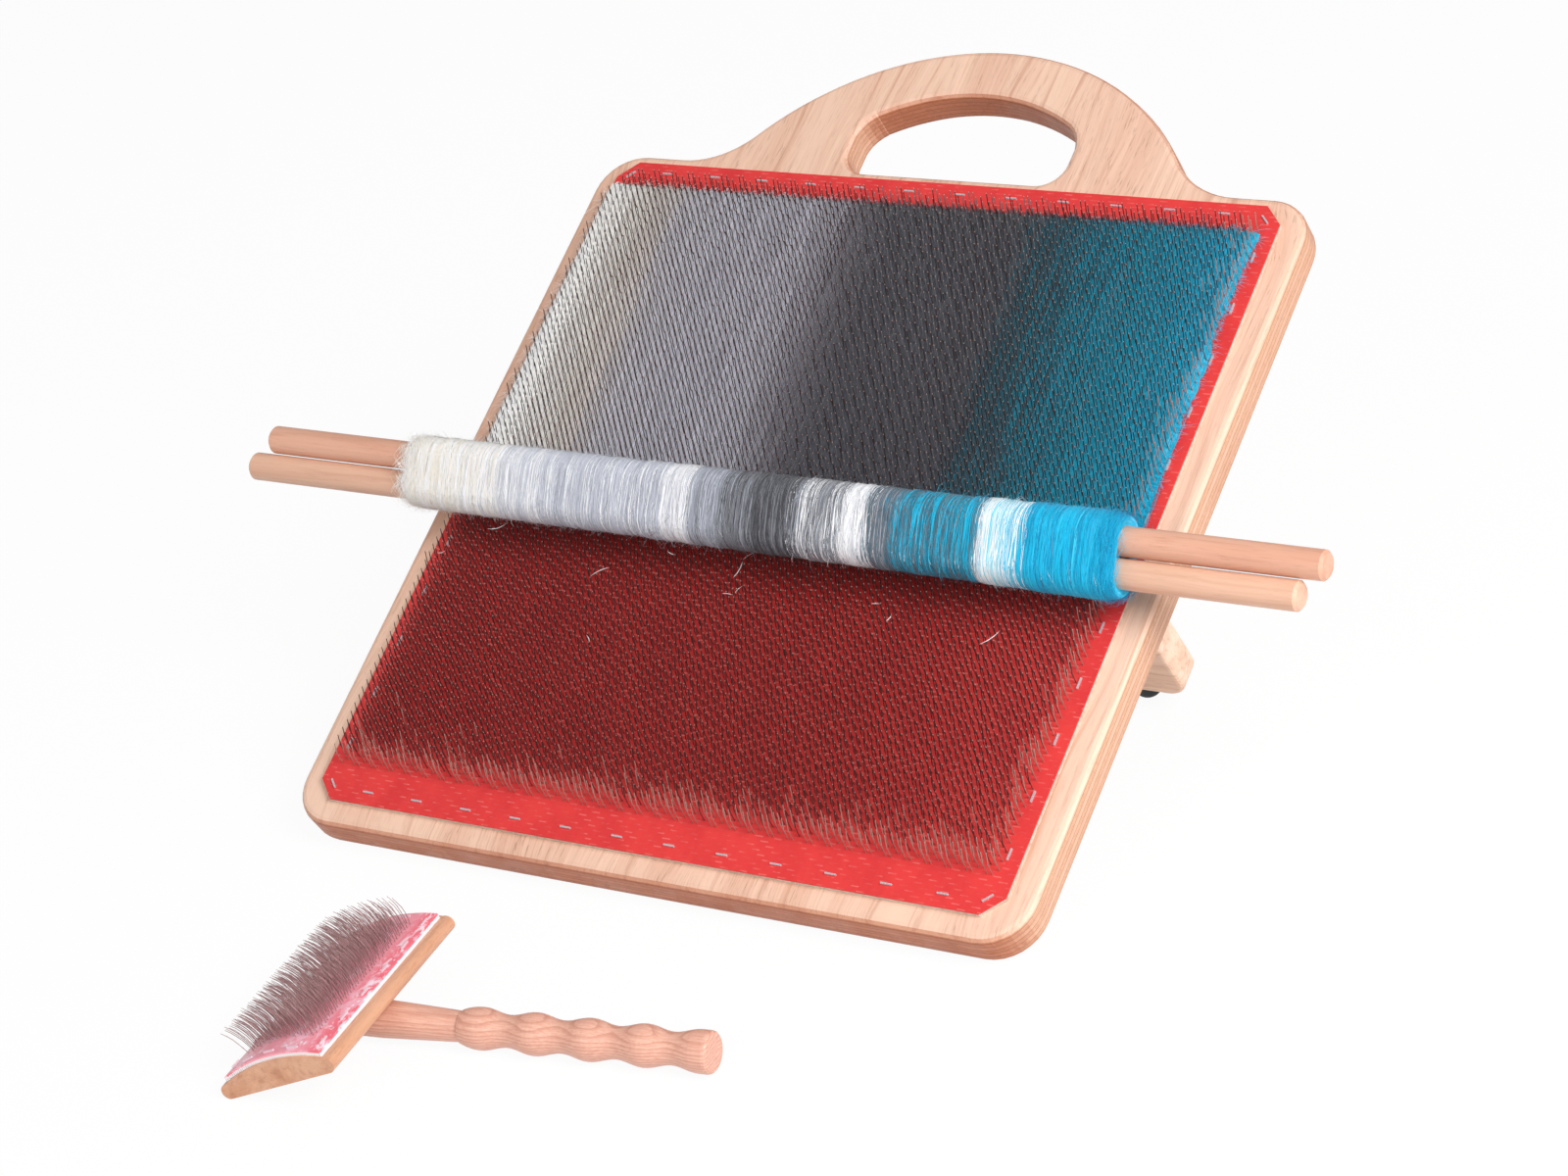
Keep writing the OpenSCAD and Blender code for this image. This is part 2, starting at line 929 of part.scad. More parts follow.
module brush_cloth_base() {
    color("white")
        on_head()
            difference() {
                arch_layer(head_arch_r, pad_base_t, pad_half, pad_end);
                bristle_slice();
            }
}

module brush_cloth_face() {
    color("lightpink")
        on_head()
            arch_layer(pad_r, pad_face_t, pad_half, pad_end);
}

function bristle_path(row, k) =
    let (
        turn = bristle_sweep * (2 * row / (bristle_rows - 1) - 1),
        out = [sin(turn), 0, cos(turn)],
        left = [sin(turn - tip_lean), 0, cos(turn - tip_lean)],
        y = (k + (row % 2) / 2 - bristle_count / 2 + 0.25) * bristle_pitch,
        foot = [head_w / 2, y, head_arch_z] + (pad_r - slice_t / 2) * out,
        knee = foot + bristle_knee * bristle_h * out
    )
    [foot, knee, knee + (1 - bristle_knee) * bristle_h * left];

module brush_bristles() {
    color("silver")
        on_head() {
            bristle_slice();
            strands(
                [for (row = [0:bristle_rows - 1], k = [0:bristle_count - 1]) bristle_path(row, k)],
                pin_r
            );
        }
}

module brush_staples() {
    side = asin((pad_half - brush_staple_side) / pad_r);
    pitch = (head_l - 2 * (pad_end + brush_staple_first)) / (brush_staple_count - 1);
    color("gainsboro")
        on_head()
            translate([head_w / 2, 0, head_arch_z]) {
                for (turn = [-side, side], i = [0:brush_staple_count - 1])
                    rotate([0, turn, 0])
                        translate([0, (i - (brush_staple_count - 1) / 2) * pitch, pad_r + pad_face_t])
                            rotate([0, 0, 90])
                                staple(brush_staple_leg);
                for (y = [-1, 1], turn = [-side / 2, 0, side / 2])
                    rotate([0, turn, 0])
                        translate([0, y * (head_l / 2 - pad_end - brush_staple_end), pad_r + pad_face_t])
                            staple(brush_staple_leg);
            }
}

module brush_peg() {
    color("wheat")
        on_head()
            translate([peg_in, 0, -peg_down])
                cylinder(r = peg_r, h = peg_down + peg_up);
}

function bead_wave(s) =
    (bead_r + waist_r) / 2 + (bead_r - waist_r) / 2 * cos(360 * (s - bead_first) / bead_pitch);

module brush_handle() {
    shoulder = (bead_first - grip_start) / shoulder_steps;
    color("peru")
        difference() {
            on_table()
                rotate([0, 90, 0])
                    rotate_extrude()
                        polygon(concat(
                            [[0, neck_start], [neck_r, neck_start], [neck_r, neck_taper]],
                            [[neck_end_r, grip_start]],
                            [
                                for (k = [0:shoulder_steps - 1])
                                    [
                                        bead_r - shoulder_drop * pow(1 - k / shoulder_steps, 2),
                                        grip_start + shoulder * k
                                    ]
                            ],
                            [
                                for (k = [0:(beads - 1) * bead_steps])
                                    let (s = bead_first + k * bead_pitch / bead_steps)
                                        [bead_wave(s), s]
                            ],
                            [
                                for (turn = [0:30:90])
                                    [
                                        bead_r - handle_round * (1 - cos(turn)),
                                        handle_end - handle_round * (1 - sin(turn))
                                    ]
                            ],
                            [[0, handle_end]]
                        ));
            on_head() {
                translate([-head_w, -head_l / 2, 0])
                    cube([3 * head_w, head_l, head_w]);
                translate([peg_in, 0, -peg_down - bolt_gap])
                    cylinder(r = peg_r + glue_gap, h = peg_down + over);
            }
        }
}

board();
cloth_base();
cloth_face();
carding_pins();
cloth_staples();
fibre_batt();
hinge_block_left();
hinge_block_right();
block_screws();
washers();
keel();
thread_inserts();
rubber_feet();
wing_bolt_left();
wing_bolt_right();
rod_upper();
rod_lower();
wool_core();
wool_roving();
brush_head();
brush_cloth_base();
brush_cloth_face();
brush_bristles();
brush_staples();
brush_peg();
brush_handle();
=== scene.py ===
import math

import bpy
import numpy as np
from mathutils import Matrix, Vector


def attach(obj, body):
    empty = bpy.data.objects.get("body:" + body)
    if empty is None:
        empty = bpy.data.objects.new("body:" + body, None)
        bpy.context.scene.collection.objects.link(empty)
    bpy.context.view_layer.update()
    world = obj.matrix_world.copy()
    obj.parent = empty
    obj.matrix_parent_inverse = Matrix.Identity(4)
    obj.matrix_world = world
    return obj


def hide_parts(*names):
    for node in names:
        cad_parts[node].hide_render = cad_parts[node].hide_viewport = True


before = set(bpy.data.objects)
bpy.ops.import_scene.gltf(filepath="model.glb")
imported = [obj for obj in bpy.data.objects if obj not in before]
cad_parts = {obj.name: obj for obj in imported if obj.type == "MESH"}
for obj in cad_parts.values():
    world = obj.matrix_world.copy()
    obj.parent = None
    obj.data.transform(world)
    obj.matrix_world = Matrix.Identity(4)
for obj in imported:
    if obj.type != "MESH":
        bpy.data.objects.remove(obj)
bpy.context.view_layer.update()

RNG = np.random.default_rng(11)

MM = 1000

# Board frame: x across, y up the board, z out of its front, in millimetres.
# The board rests on its rounded lower edge and on the keel's feet.
EDGE_R, FOOT_R = 3, 6.5
FOOT_ALONG, FOOT_BEHIND = 170.4, 89.3
FOOT_AWAY = math.hypot(FOOT_ALONG, FOOT_BEHIND)
TILT = math.atan2(FOOT_BEHIND, FOOT_ALONG) + math.asin((FOOT_R - EDGE_R) / FOOT_AWAY)
C, S = math.cos(TILT), math.sin(TILT)
LIFT = EDGE_R - EDGE_R * (S + C)


def to_row(p):
    """Board millimetres as the frame's metres."""
    p = np.asarray(p, float)
    out = np.empty_like(p)
    out[..., 0] = p[..., 0]
    out[..., 1] = C * p[..., 1] - S * p[..., 2]
    out[..., 2] = S * p[..., 1] + C * p[..., 2] + LIFT
    return out / MM


# Brush: the handle's axis is x at the height of its beads, and the head slopes up from it
HEAD_W, HEAD_EDGE, HEAD_MID = 57, 6.4, 11
PAD_SIDE, PAD_T = 4, 2.0
BEAD_R = 8.2
TURN, SLOPE = math.radians(8), math.radians(20)
BRUSH_AT = np.array([-63.5, -116.5, BEAD_R])
HEAD_R = HEAD_EDGE / 2
AXIS_IN = HEAD_R + (BEAD_R - HEAD_R * (1 - math.cos(SLOPE))) / math.sin(SLOPE)
ARCH_R = ((HEAD_W / 2 - HEAD_R) ** 2 + (HEAD_MID - HEAD_EDGE) ** 2) / (2 * (HEAD_MID - HEAD_EDGE))
ARCH_Z = HEAD_MID - ARCH_R


def table_to_row(p):
    """Brush handle millimetres as the frame's metres."""
    p = np.asarray(p, float)
    c, s = math.cos(TURN), math.sin(TURN)
    out = np.stack([c * p[..., 0] - s * p[..., 1], s * p[..., 0] + c * p[..., 1], p[..., 2]], -1)
    return (out + BRUSH_AT) / MM


def head_to_row(p):
    """Brush head millimetres as the frame's metres."""
    p = np.asarray(p, float)
    c, s = math.cos(SLOPE), math.sin(SLOPE)
    x = p[..., 0] - AXIS_IN
    return table_to_row(np.stack([c * x - s * p[..., 2], p[..., 1], s * x + c * p[..., 2]], -1))


# Meshes

ABOVE = np.array([0, 0, 1.0])
TIP_SHARE, TAPER_RATE = 0.25, 3
TUBE_SIDES = 3


def make(name, co, faces, mats, index=None):
    """Mesh object from points and faces; index picks the material of each face."""
    faces = np.asarray(faces, np.int32)
    me = bpy.data.meshes.new(name)
    me.vertices.add(len(co))
    me.vertices.foreach_set("co", np.asarray(co, np.float32).ravel())
    me.loops.add(faces.size)
    me.loops.foreach_set("vertex_index", faces.ravel())
    me.polygons.add(len(faces))
    me.polygons.foreach_set("loop_start", np.arange(0, faces.size, faces.shape[1], dtype=np.int32))
    for m in mats:
        me.materials.append(m)
    if index is not None:
        me.polygons.foreach_set("material_index", np.asarray(index, np.int32))
    me.polygons.foreach_set("use_smooth", np.full(len(faces), True))
    me.update(calc_edges=True)
    ob = bpy.data.objects.new(name, me)
    bpy.context.scene.collection.objects.link(ob)
    return ob


def frames(paths, up):
    """Unit side and outward directions along paths (strand, point, 3)."""
    tangent = np.gradient(paths, axis=1)
    tangent /= np.linalg.norm(tangent, axis=-1, keepdims=True) + 1e-12
    side = np.cross(tangent, up)
    side /= np.linalg.norm(side, axis=-1, keepdims=True) + 1e-9
    return side, np.cross(side, tangent)


def ribbons(paths, width, up):
    """Flat strands that narrow towards both ends: points, faces and faces in each strand."""
    n, p, _ = paths.shape
    side, _ = frames(paths, up)
    half = (width * 0.5).reshape(n, 1, 1)
    from_end = np.minimum(np.arange(p), np.arange(p)[::-1])
    taper = np.minimum(1, TIP_SHARE + TAPER_RATE * from_end / p)[None, :, None]
    co = np.stack([paths - side * half * taper, paths + side * half * taper], 2)
    base = (np.arange(n)[:, None] * p + np.arange(p - 1)[None]) * 2
    faces = np.stack([base, base + 1, base + 3, base + 2], -1)
    return co.reshape(-1, 3), faces.reshape(-1, 4), p - 1


def tubes(paths, radii, up):
    """Thin prisms along paths, with one radius for each point of a path: points and faces."""
    n, p, _ = paths.shape
    side, out = frames(paths, up)
    a = 2 * np.pi * np.arange(TUBE_SIDES) / TUBE_SIDES
    ring = np.cos(a)[:, None] * out[:, :, None] + np.sin(a)[:, None] * side[:, :, None]
    co = paths[:, :, None] + np.array(radii)[:, None, None] * ring
    base = (np.arange(n)[:, None] * p + np.arange(p - 1)[None]) * TUBE_SIDES
    here = base[..., None] + np.arange(TUBE_SIDES)
    beside = base[..., None] + (np.arange(TUBE_SIDES) + 1) % TUBE_SIDES
    faces = np.stack([here, beside, beside + TUBE_SIDES, here + TUBE_SIDES], -1)
    return co.reshape(-1, 3), faces.reshape(-1, 4)


# Shading helpers

def lin(*rgb):
    """Linear colour from sRGB values up to 255."""
    v = np.array(rgb, float) / 255
    v = np.where(v <= 0.04045, v / 12.92, ((v + 0.055) / 1.055) ** 2.4)
    return (*v.tolist(), 1.0)


def new_mat(name, color=(0.5, 0.5, 0.5, 1), rough=0.5, **sockets):
    """Material with its node tree and shader; sockets are named with _ for a space."""
    m = bpy.data.materials.new(name)
    m.use_nodes = True
    b = m.node_tree.nodes["Principled BSDF"]
    b.inputs["Base Color"].default_value = color
    b.inputs["Roughness"].default_value = rough
    for k, v in sockets.items():
        b.inputs[k.replace("_", " ")].default_value = v
    return m, m.node_tree, b


def plain(name, rgb, rough, **sockets):
    """Material of one colour."""
    return new_mat(name, lin(*rgb), rough, **sockets)[0]


def node(nt, kind, inputs=None, **props):
    n = nt.nodes.new(kind)
    for k, v in props.items():
        setattr(n, k, v)
    for k, v in (inputs or {}).items():
        if isinstance(v, bpy.types.NodeSocket):
            nt.links.new(v, n.inputs[k])
        else:
            n.inputs[k].default_value = v
    return n


def calc(nt, op, *args):
    return node(nt, "ShaderNodeMath", dict(enumerate(args)), operation=op).outputs[0]


def step(nt, v, lo, hi, a=0.0, b=1.0):
    """Smooth change from a to b while v goes from lo to hi."""
    n = node(nt, "ShaderNodeMapRange", {0: v, 1: lo, 2: hi, 3: a, 4: b}, interpolation_type="SMOOTHSTEP")
    return n.outputs[0]


def ramp(nt, fac, stops):
    n = node(nt, "ShaderNodeValToRGB", {0: fac})
    e = n.color_ramp.elements
    while len(e) < len(stops):
        e.new(0.5)
    for el, (pos, col) in zip(e, stops):
        el.position = pos
        el.color = col
    return n.outputs[0]


def mix(nt, fac, a, b, how="MIX"):
    n = node(nt, "ShaderNodeMix", data_type="RGBA", blend_type=how, clamp_factor=True)
    for key, v in ((0, fac), (6, a), (7, b)):
        if isinstance(v, bpy.types.NodeSocket):
            nt.links.new(v, n.inputs[key])
        else:
            n.inputs[key].default_value = v
    return n.outputs[2]


def noise(nt, vec, scale, detail=3.0, rough=0.5, distort=0.0):
    n = node(nt, "ShaderNodeTexNoise", {
        "Vector": vec, "Scale": scale, "Detail": detail, "Roughness": rough, "Distortion": distort})
    return n.outputs[0]


def stretch(nt, vec, x=1.0, y=1.0, z=1.0):
    n = node(nt, "ShaderNodeMapping", {"Vector": vec, "Scale": (x, y, z)})
    return n.outputs[0]


def split(nt, vec):
    n = node(nt, "ShaderNodeSeparateXYZ", {0: vec})
    return n.outputs[0], n.outputs[1], n.outputs[2]


def join(nt, x, y, z):
    return node(nt, "ShaderNodeCombineXYZ", {0: x, 1: y, 2: z}).outputs[0]


def bump(nt, shader, height, distance, strength=1.0):
    n = node(nt, "ShaderNodeBump", {"Height": height, "Distance": distance, "Strength": strength})
    nt.links.new(n.outputs[0], shader.inputs["Normal"])


def facing(nt, direction):
    """How squarely a surface faces along direction, from 0 to 1."""
    normal = node(nt, "ShaderNodeTexCoord").outputs["Normal"]
    dot = node(nt, "ShaderNodeVectorMath", {0: normal, 1: direction}, operation="DOT_PRODUCT")
    return calc(nt, "ABSOLUTE", dot.outputs["Value"])


def row_mm(nt):
    """The frame's coordinates in millimetres."""
    tc = node(nt, "ShaderNodeTexCoord").outputs["Object"]
    return stretch(nt, tc, MM, MM, MM)


def board_mm(nt):
    """Board coordinates in millimetres."""
    tc = node(nt, "ShaderNodeTexCoord").outputs["Object"]
    return node(nt, "ShaderNodeMapping", {
        "Vector": tc, "Scale": (MM, MM, MM), "Rotation": (-TILT, 0, 0),
        "Location": (0, -S * LIFT, -C * LIFT)}).outputs[0]


def handle_mm(nt):
    """Brush handle coordinates in millimetres."""
    c, s = math.cos(TURN), math.sin(TURN)
    x, y, z = BRUSH_AT
    return node(nt, "ShaderNodeMapping", {
        "Vector": row_mm(nt), "Rotation": (0, 0, -TURN),
        "Location": (-(c * x + s * y), s * x - c * y, -z)}).outputs[0]


def head_mm(nt):
    """Brush head coordinates in millimetres."""
    return node(nt, "ShaderNodeMapping", {
        "Vector": handle_mm(nt), "Rotation": (0, SLOPE, 0), "Location": (AXIS_IN, 0, 0)}).outputs[0]


def grain(nt, vec, light, mid, dark, wide=22.0, pore=0.5):
    """Wood colour for vec in millimetres, with the grain along y. Returns colour and a height."""
    paler = tuple(min(1.0, 1.12 * v) for v in light[:3]) + (1,)
    darkest = tuple(0.5 * v for v in dark[:3]) + (1,)
    drift = noise(nt, stretch(nt, vec, 0.5, 0.12, 0.5), 0.03, 2)
    x, y, z = split(nt, vec)
    x = calc(nt, "ADD", x, calc(nt, "MULTIPLY", calc(nt, "SUBTRACT", drift, 0.5), 60.0))
    bent = join(nt, x, y, z)
    broad = noise(nt, stretch(nt, bent, 1, 0.05, 1), 1 / wide, 3, 0.55)
    band = noise(nt, stretch(nt, bent, 1, 0.02, 1), 0.26, 4, 0.6)
    fine = noise(nt, stretch(nt, bent, 1, 0.03, 1), 1.1, 3, 0.65)
    pores = noise(nt, stretch(nt, bent, 1, 0.06, 1), 1.9, 2, 0.6)
    col = mix(nt, step(nt, broad, 0.36, 0.66), light, mid)
    col = mix(nt, step(nt, band, 0.50, 0.70, 0, 0.65), col, dark)
    col = mix(nt, step(nt, band, 0.46, 0.34, 0, 0.35), col, paler)
    col = mix(nt, step(nt, fine, 0.50, 0.74, 0, 0.40), col, dark)
    in_broad = step(nt, broad, 0.40, 0.62, 0.35, 1.0)
    pits = calc(nt, "MULTIPLY", step(nt, pores, 0.58, 0.70, 0, pore), in_broad)
    col = mix(nt, pits, col, darkest)
    height = calc(nt, "SUBTRACT", calc(nt, "MULTIPLY", fine, 0.4), pits)
    return col, height


# The board's plywood, coloured as seven plies, and how far in its faces are sampled
BOARD_T, PLIES, FACE_IN = 16, 7, 0.4


def wood(name, coords, order, light, mid, dark, wide=22.0, rough=0.48, pore=0.5, ply_t=0.0, shift=0.0):
    """Wood with order naming the coordinates across, along and through the grain.

    ply_t is the thickness of a ply, or 0 for solid wood, and shift is taken off the third coordinate.
    """
    m, nt, b = new_mat(name, rough=rough)
    xyz = split(nt, coords(nt))
    across, along, through = (xyz["xyz".index(k)] for k in order)
    through = calc(nt, "SUBTRACT", through, shift)
    if ply_t:
        through = calc(nt, "MINIMUM", calc(nt, "MAXIMUM", through, FACE_IN), PLIES * ply_t - FACE_IN)
    place_3d = join(nt, across, along, through)
    col, height = grain(nt, place_3d, light, mid, dark, wide, pore)
    if ply_t:
        place = calc(nt, "DIVIDE", through, ply_t)
        wobble = noise(nt, join(nt, across, along, 0.0), 0.03, 2)
        place = calc(nt, "ADD", place, calc(nt, "MULTIPLY", calc(nt, "SUBTRACT", wobble, 0.5), 0.12))
        odd = calc(nt, "MODULO", calc(nt, "FLOOR", place), 2.0)
        part = calc(nt, "FRACT", place)
        end = noise(nt, join(nt, across, along, calc(nt, "MULTIPLY", through, 2.2)), 0.55, 3, 0.7)
        cross = mix(nt, step(nt, end, 0.3, 0.7), lin(224, 186, 158), lin(204, 162, 132))
        col = mix(nt, calc(nt, "MULTIPLY", odd, 0.8), col, cross)
        near = calc(nt, "ABSOLUTE", calc(nt, "SUBTRACT", part, 0.5))
        glue = step(nt, near, 0.43, 0.48, 0, 0.9)
        col = mix(nt, glue, col, lin(146, 102, 78))
        height = calc(nt, "SUBTRACT", height, calc(nt, "MULTIPLY", glue, 0.6))
        # Painted shade, partly real: faces not facing the front are darker for the cut wood and as painted
        # shade, and faces across the board's length darker still, for end grain and as painted shade on the
        # lower edge and in the hand slot
        cut_tone_and_shade = step(nt, facing(nt, (0, -S, C)), 0.80, 0.30)
        col = mix(nt, cut_tone_and_shade, col, lin(244, 228, 218), "MULTIPLY")
        end_grain_and_shade = step(nt, facing(nt, (0, C, S)), 0.10, 1.0)
        col = mix(nt, end_grain_and_shade, col, lin(218, 176, 154), "MULTIPLY")
    nt.links.new(col, b.inputs["Base Color"])
    uneven = noise(nt, place_3d, 0.08, 3)
    nt.links.new(step(nt, uneven, 0.3, 0.7, rough - 0.06, rough + 0.10), b.inputs["Roughness"])
    bump(nt, b, height, 0.00012, 0.6)
    return m


# Wood

KEEL_PATTERN_Y = 166.05
ply = wood("ply_face", board_mm, "xyz", lin(233, 196, 173), lin(223, 180, 156), lin(192, 140, 114),
           wide=24, ply_t=BOARD_T / PLIES)
keel_wood = wood("keel_wood", board_mm, "zxy", lin(246, 214, 191), lin(233, 193, 166), lin(205, 155, 126),
                 wide=14, shift=KEEL_PATTERN_Y)
block_wood = wood("block_wood", board_mm, "xzy", lin(240, 207, 180), lin(228, 188, 160), lin(200, 152, 124),
                  wide=12)
# One wood for both rods: the upper rod's copy is darker than the lower rod's, as painted shade
rod_wood = wood("rod_wood", board_mm, "zxy", lin(219, 168, 143), lin(211, 156, 131), lin(196, 140, 116),
                wide=9, pore=0.25, rough=0.45)
pale_rod_wood = wood("pale_rod_wood", board_mm, "zxy", lin(222, 178, 152), lin(213, 167, 141),
                     lin(202, 152, 127), wide=9, pore=0.25, rough=0.45)
head_wood = wood("head_wood", head_mm, "xyz", lin(213, 162, 131), lin(203, 147, 114), lin(176, 118, 86),
                 wide=10, pore=0.3, rough=0.42)


def turned_wood(name):
    """Growth rings that a turned profile cuts into eyes on its beads."""
    m, nt, b = new_mat(name, rough=0.40)
    x, y, z = split(nt, handle_mm(nt))
    warp = noise(nt, join(nt, calc(nt, "MULTIPLY", x, 0.05), y, z), 0.12, 2)
    oz = calc(nt, "ADD", z, calc(nt, "ADD", 14.0, calc(nt, "MULTIPLY", warp, 5.0)))
    oy = calc(nt, "ADD", y, calc(nt, "MULTIPLY", warp, 4.0))
    r = calc(nt, "SQRT", calc(nt, "ADD", calc(nt, "MULTIPLY", oy, calc(nt, "MULTIPLY", oy, 0.25)),
                              calc(nt, "MULTIPLY", oz, oz)))
    ring = calc(nt, "FRACT", calc(nt, "MULTIPLY", r, 0.62))
    late = calc(nt, "MULTIPLY", step(nt, ring, 0.35, 0.92), step(nt, ring, 1.0, 0.95))
    fibre = noise(nt, join(nt, calc(nt, "MULTIPLY", x, 0.05), y, z), 1.7, 3, 0.6)
    col = mix(nt, step(nt, fibre, 0.3, 0.7), lin(228, 177, 156), lin(213, 156, 136))
    col = mix(nt, calc(nt, "MULTIPLY", late, 0.45), col, lin(180, 116, 94))
    flecks = noise(nt, join(nt, calc(nt, "MULTIPLY", x, 0.25), y, z), 2.6, 1)
    col = mix(nt, step(nt, flecks, 0.63, 0.74, 0, 0.5), col, lin(196, 128, 98))
    nt.links.new(col, b.inputs["Base Color"])
    bump(nt, b, calc(nt, "ADD", late, fibre), 0.00008, 0.5)
    return m


handle_wood = turned_wood("handle_wood")

# Metal, rubber and cloth

# Painted shade and light on the wires: the steel is painted dark as painted shade among them, and the legs
# lighter and redder as painted light
pin_shaded_steel = plain("pin_shaded_steel", (60, 45, 43), 0.34, Metallic=0.4)
# Painted highlight: the light tips stand for glints
pin_tip_glint = plain("pin_tip_glint", (196, 176, 166), 0.4, Metallic=0.5)
pin_lit_leg = plain("pin_lit_leg", (104, 64, 58), 0.36, Metallic=0.4)
# A lit copy of the steel, as painted light on the outer wires
pin_lit_edge = plain("pin_lit_edge", (176, 138, 126), 0.34, Metallic=0.4)
# A lighter grey copy of the steel, as painted glints on wires in the dark wool
pin_glint_grey = plain("pin_glint_grey", (112, 108, 112), 0.34, Metallic=0.4)
bristle_steel = plain("bristle_steel", (172, 134, 134), 0.40, Metallic=0.4)
sparkle = plain("sparkle", (250, 250, 252), 0.12, Metallic=1.0)
filament = plain("filament", (250, 250, 250), 0.3)

staple_steel, nt, b = new_mat("staple_steel", lin(214, 206, 210), 0.34, Metallic=0.5)
spots = noise(nt, row_mm(nt), 2.2, 3)
nt.links.new(mix(nt, spots, lin(190, 182, 186), lin(238, 230, 234)), b.inputs["Base Color"])
nt.links.new(step(nt, spots, 0.3, 0.7, 0.22, 0.45), b.inputs["Roughness"])

brush_staple_steel = plain("brush_staple_steel", (236, 214, 222), 0.4, Metallic=0.2)

zinc, nt, b = new_mat("zinc", lin(190, 192, 196), 0.35, Metallic=0.95)
spots = noise(nt, row_mm(nt), 0.5, 4)
nt.links.new(mix(nt, spots, lin(150, 153, 158), lin(214, 215, 220)), b.inputs["Base Color"])
nt.links.new(step(nt, spots, 0.3, 0.7, 0.28, 0.5), b.inputs["Roughness"])
bump(nt, b, noise(nt, row_mm(nt), 1.5, 3), 0.00005, 0.4)

brass, nt, b = new_mat("brass", lin(198, 160, 92), 0.3, Metallic=1.0)
spots = noise(nt, row_mm(nt), 1.1, 3)
nt.links.new(mix(nt, spots, lin(168, 130, 70), lin(220, 186, 118)), b.inputs["Base Color"])

foot_rubber, nt, b = new_mat("foot_rubber", lin(22, 24, 26), 0.7)
spots = noise(nt, row_mm(nt), 1.8, 4)
nt.links.new(mix(nt, spots, lin(14, 15, 17), lin(40, 42, 44)), b.inputs["Base Color"])
bump(nt, b, spots, 0.0001, 0.5)


# Carding wires stand in pairs along staggered rows: the pitch of the pairs and of the rows
PAIR_PITCH, ROW_PITCH = 8.9, 1.98
# A crown's length and thickness, and each row's shift, as shares of those pitches
CROWN_L, CROWN_T, CROWN_SHIFT = 0.34, 0.16, 0.37


def crowns(nt, x, y):
    """Short raised lines in staggered rows, as the wire crowns press them through the rubber."""
    row = calc(nt, "FLOOR", calc(nt, "DIVIDE", y, ROW_PITCH))
    turned = calc(nt, "MULTIPLY", row, CROWN_SHIFT)
    u = calc(nt, "FRACT", calc(nt, "ADD", calc(nt, "DIVIDE", x, PAIR_PITCH), turned))
    v = calc(nt, "FRACT", calc(nt, "DIVIDE", y, ROW_PITCH))
    du = calc(nt, "ABSOLUTE", calc(nt, "SUBTRACT", u, 0.5))
    dv = calc(nt, "ABSOLUTE", calc(nt, "SUBTRACT", v, 0.5))
    along = step(nt, du, CROWN_L / 2 + 0.06, CROWN_L / 2)
    across = step(nt, dv, CROWN_T / 2 + 0.12, CROWN_T / 2)
    return calc(nt, "MULTIPLY", along, across)


red_rubber, nt, b = new_mat("red_rubber", rough=0.48)
x, y, _ = split(nt, board_mm(nt))
jitter = noise(nt, join(nt, x, y, 0.0), 0.35, 2)
line = crowns(nt, calc(nt, "ADD", x, calc(nt, "MULTIPLY", jitter, 1.6)), y)
worn = noise(nt, stretch(nt, join(nt, x, y, 0.0), 1, 0.6, 1), 0.05, 5, 0.65)
col = mix(nt, step(nt, worn, 0.35, 0.7), lin(220, 58, 56), lin(208, 46, 48))
# Painted shade: the rubber inside the wire field is darkened, for the shade the wires cast on it
painted_pin_shade = calc(nt, "MULTIPLY", step(nt, x, -162.0, -152.0), step(nt, x, 160.0, 60.0, 0.0, 1.0))
painted_pin_shade = calc(nt, "MULTIPLY", painted_pin_shade, step(nt, y, 28.0, 44.0))
painted_pin_shade = calc(nt, "MULTIPLY", painted_pin_shade, step(nt, y, 333.0, 322.0))
col = mix(nt, painted_pin_shade, col, lin(214, 180, 180), "MULTIPLY")
patches = noise(nt, join(nt, x, y, 3.0), 0.16, 3)
patchy = calc(nt, "MULTIPLY", line, step(nt, patches, 0.42, 0.66, 0.04, 0.42))
col = mix(nt, patchy, col, lin(243, 136, 128))
nt.links.new(col, b.inputs["Base Color"])
nt.links.new(step(nt, worn, 0.3, 0.75, 0.38, 0.58), b.inputs["Roughness"])
bump(nt, b, calc(nt, "ADD", line, calc(nt, "MULTIPLY", jitter, 0.3)), 0.00014, 0.6)

woven, nt, b = new_mat("woven", rough=0.85)
x, y, z = split(nt, board_mm(nt))
warp = calc(nt, "SINE", calc(nt, "MULTIPLY", x, 7.0))
weft = calc(nt, "SINE", calc(nt, "MULTIPLY", y, 7.0))
weave = calc(nt, "MULTIPLY", warp, weft)
layers = step(nt, calc(nt, "SINE", calc(nt, "MULTIPLY", z, 9.0)), -0.4, 0.6)
col = mix(nt, layers, lin(206, 182, 158), lin(244, 236, 226))
col = mix(nt, step(nt, noise(nt, join(nt, x, y, z), 0.4, 3), 0.4, 0.7, 0, 0.4), col, lin(170, 140, 112))
nt.links.new(col, b.inputs["Base Color"])
bump(nt, b, calc(nt, "ADD", weave, layers), 0.0002, 0.6)

brush_cloth, nt, b = new_mat("brush_cloth", rough=0.8)
x, _, _ = split(nt, head_mm(nt))
weave = calc(nt, "SINE", calc(nt, "MULTIPLY", x, 6.0))
col = mix(nt, step(nt, weave, -0.6, 0.6), lin(236, 228, 232), lin(252, 250, 252))
nt.links.new(col, b.inputs["Base Color"])
bump(nt, b, weave, 0.0002, 0.6)

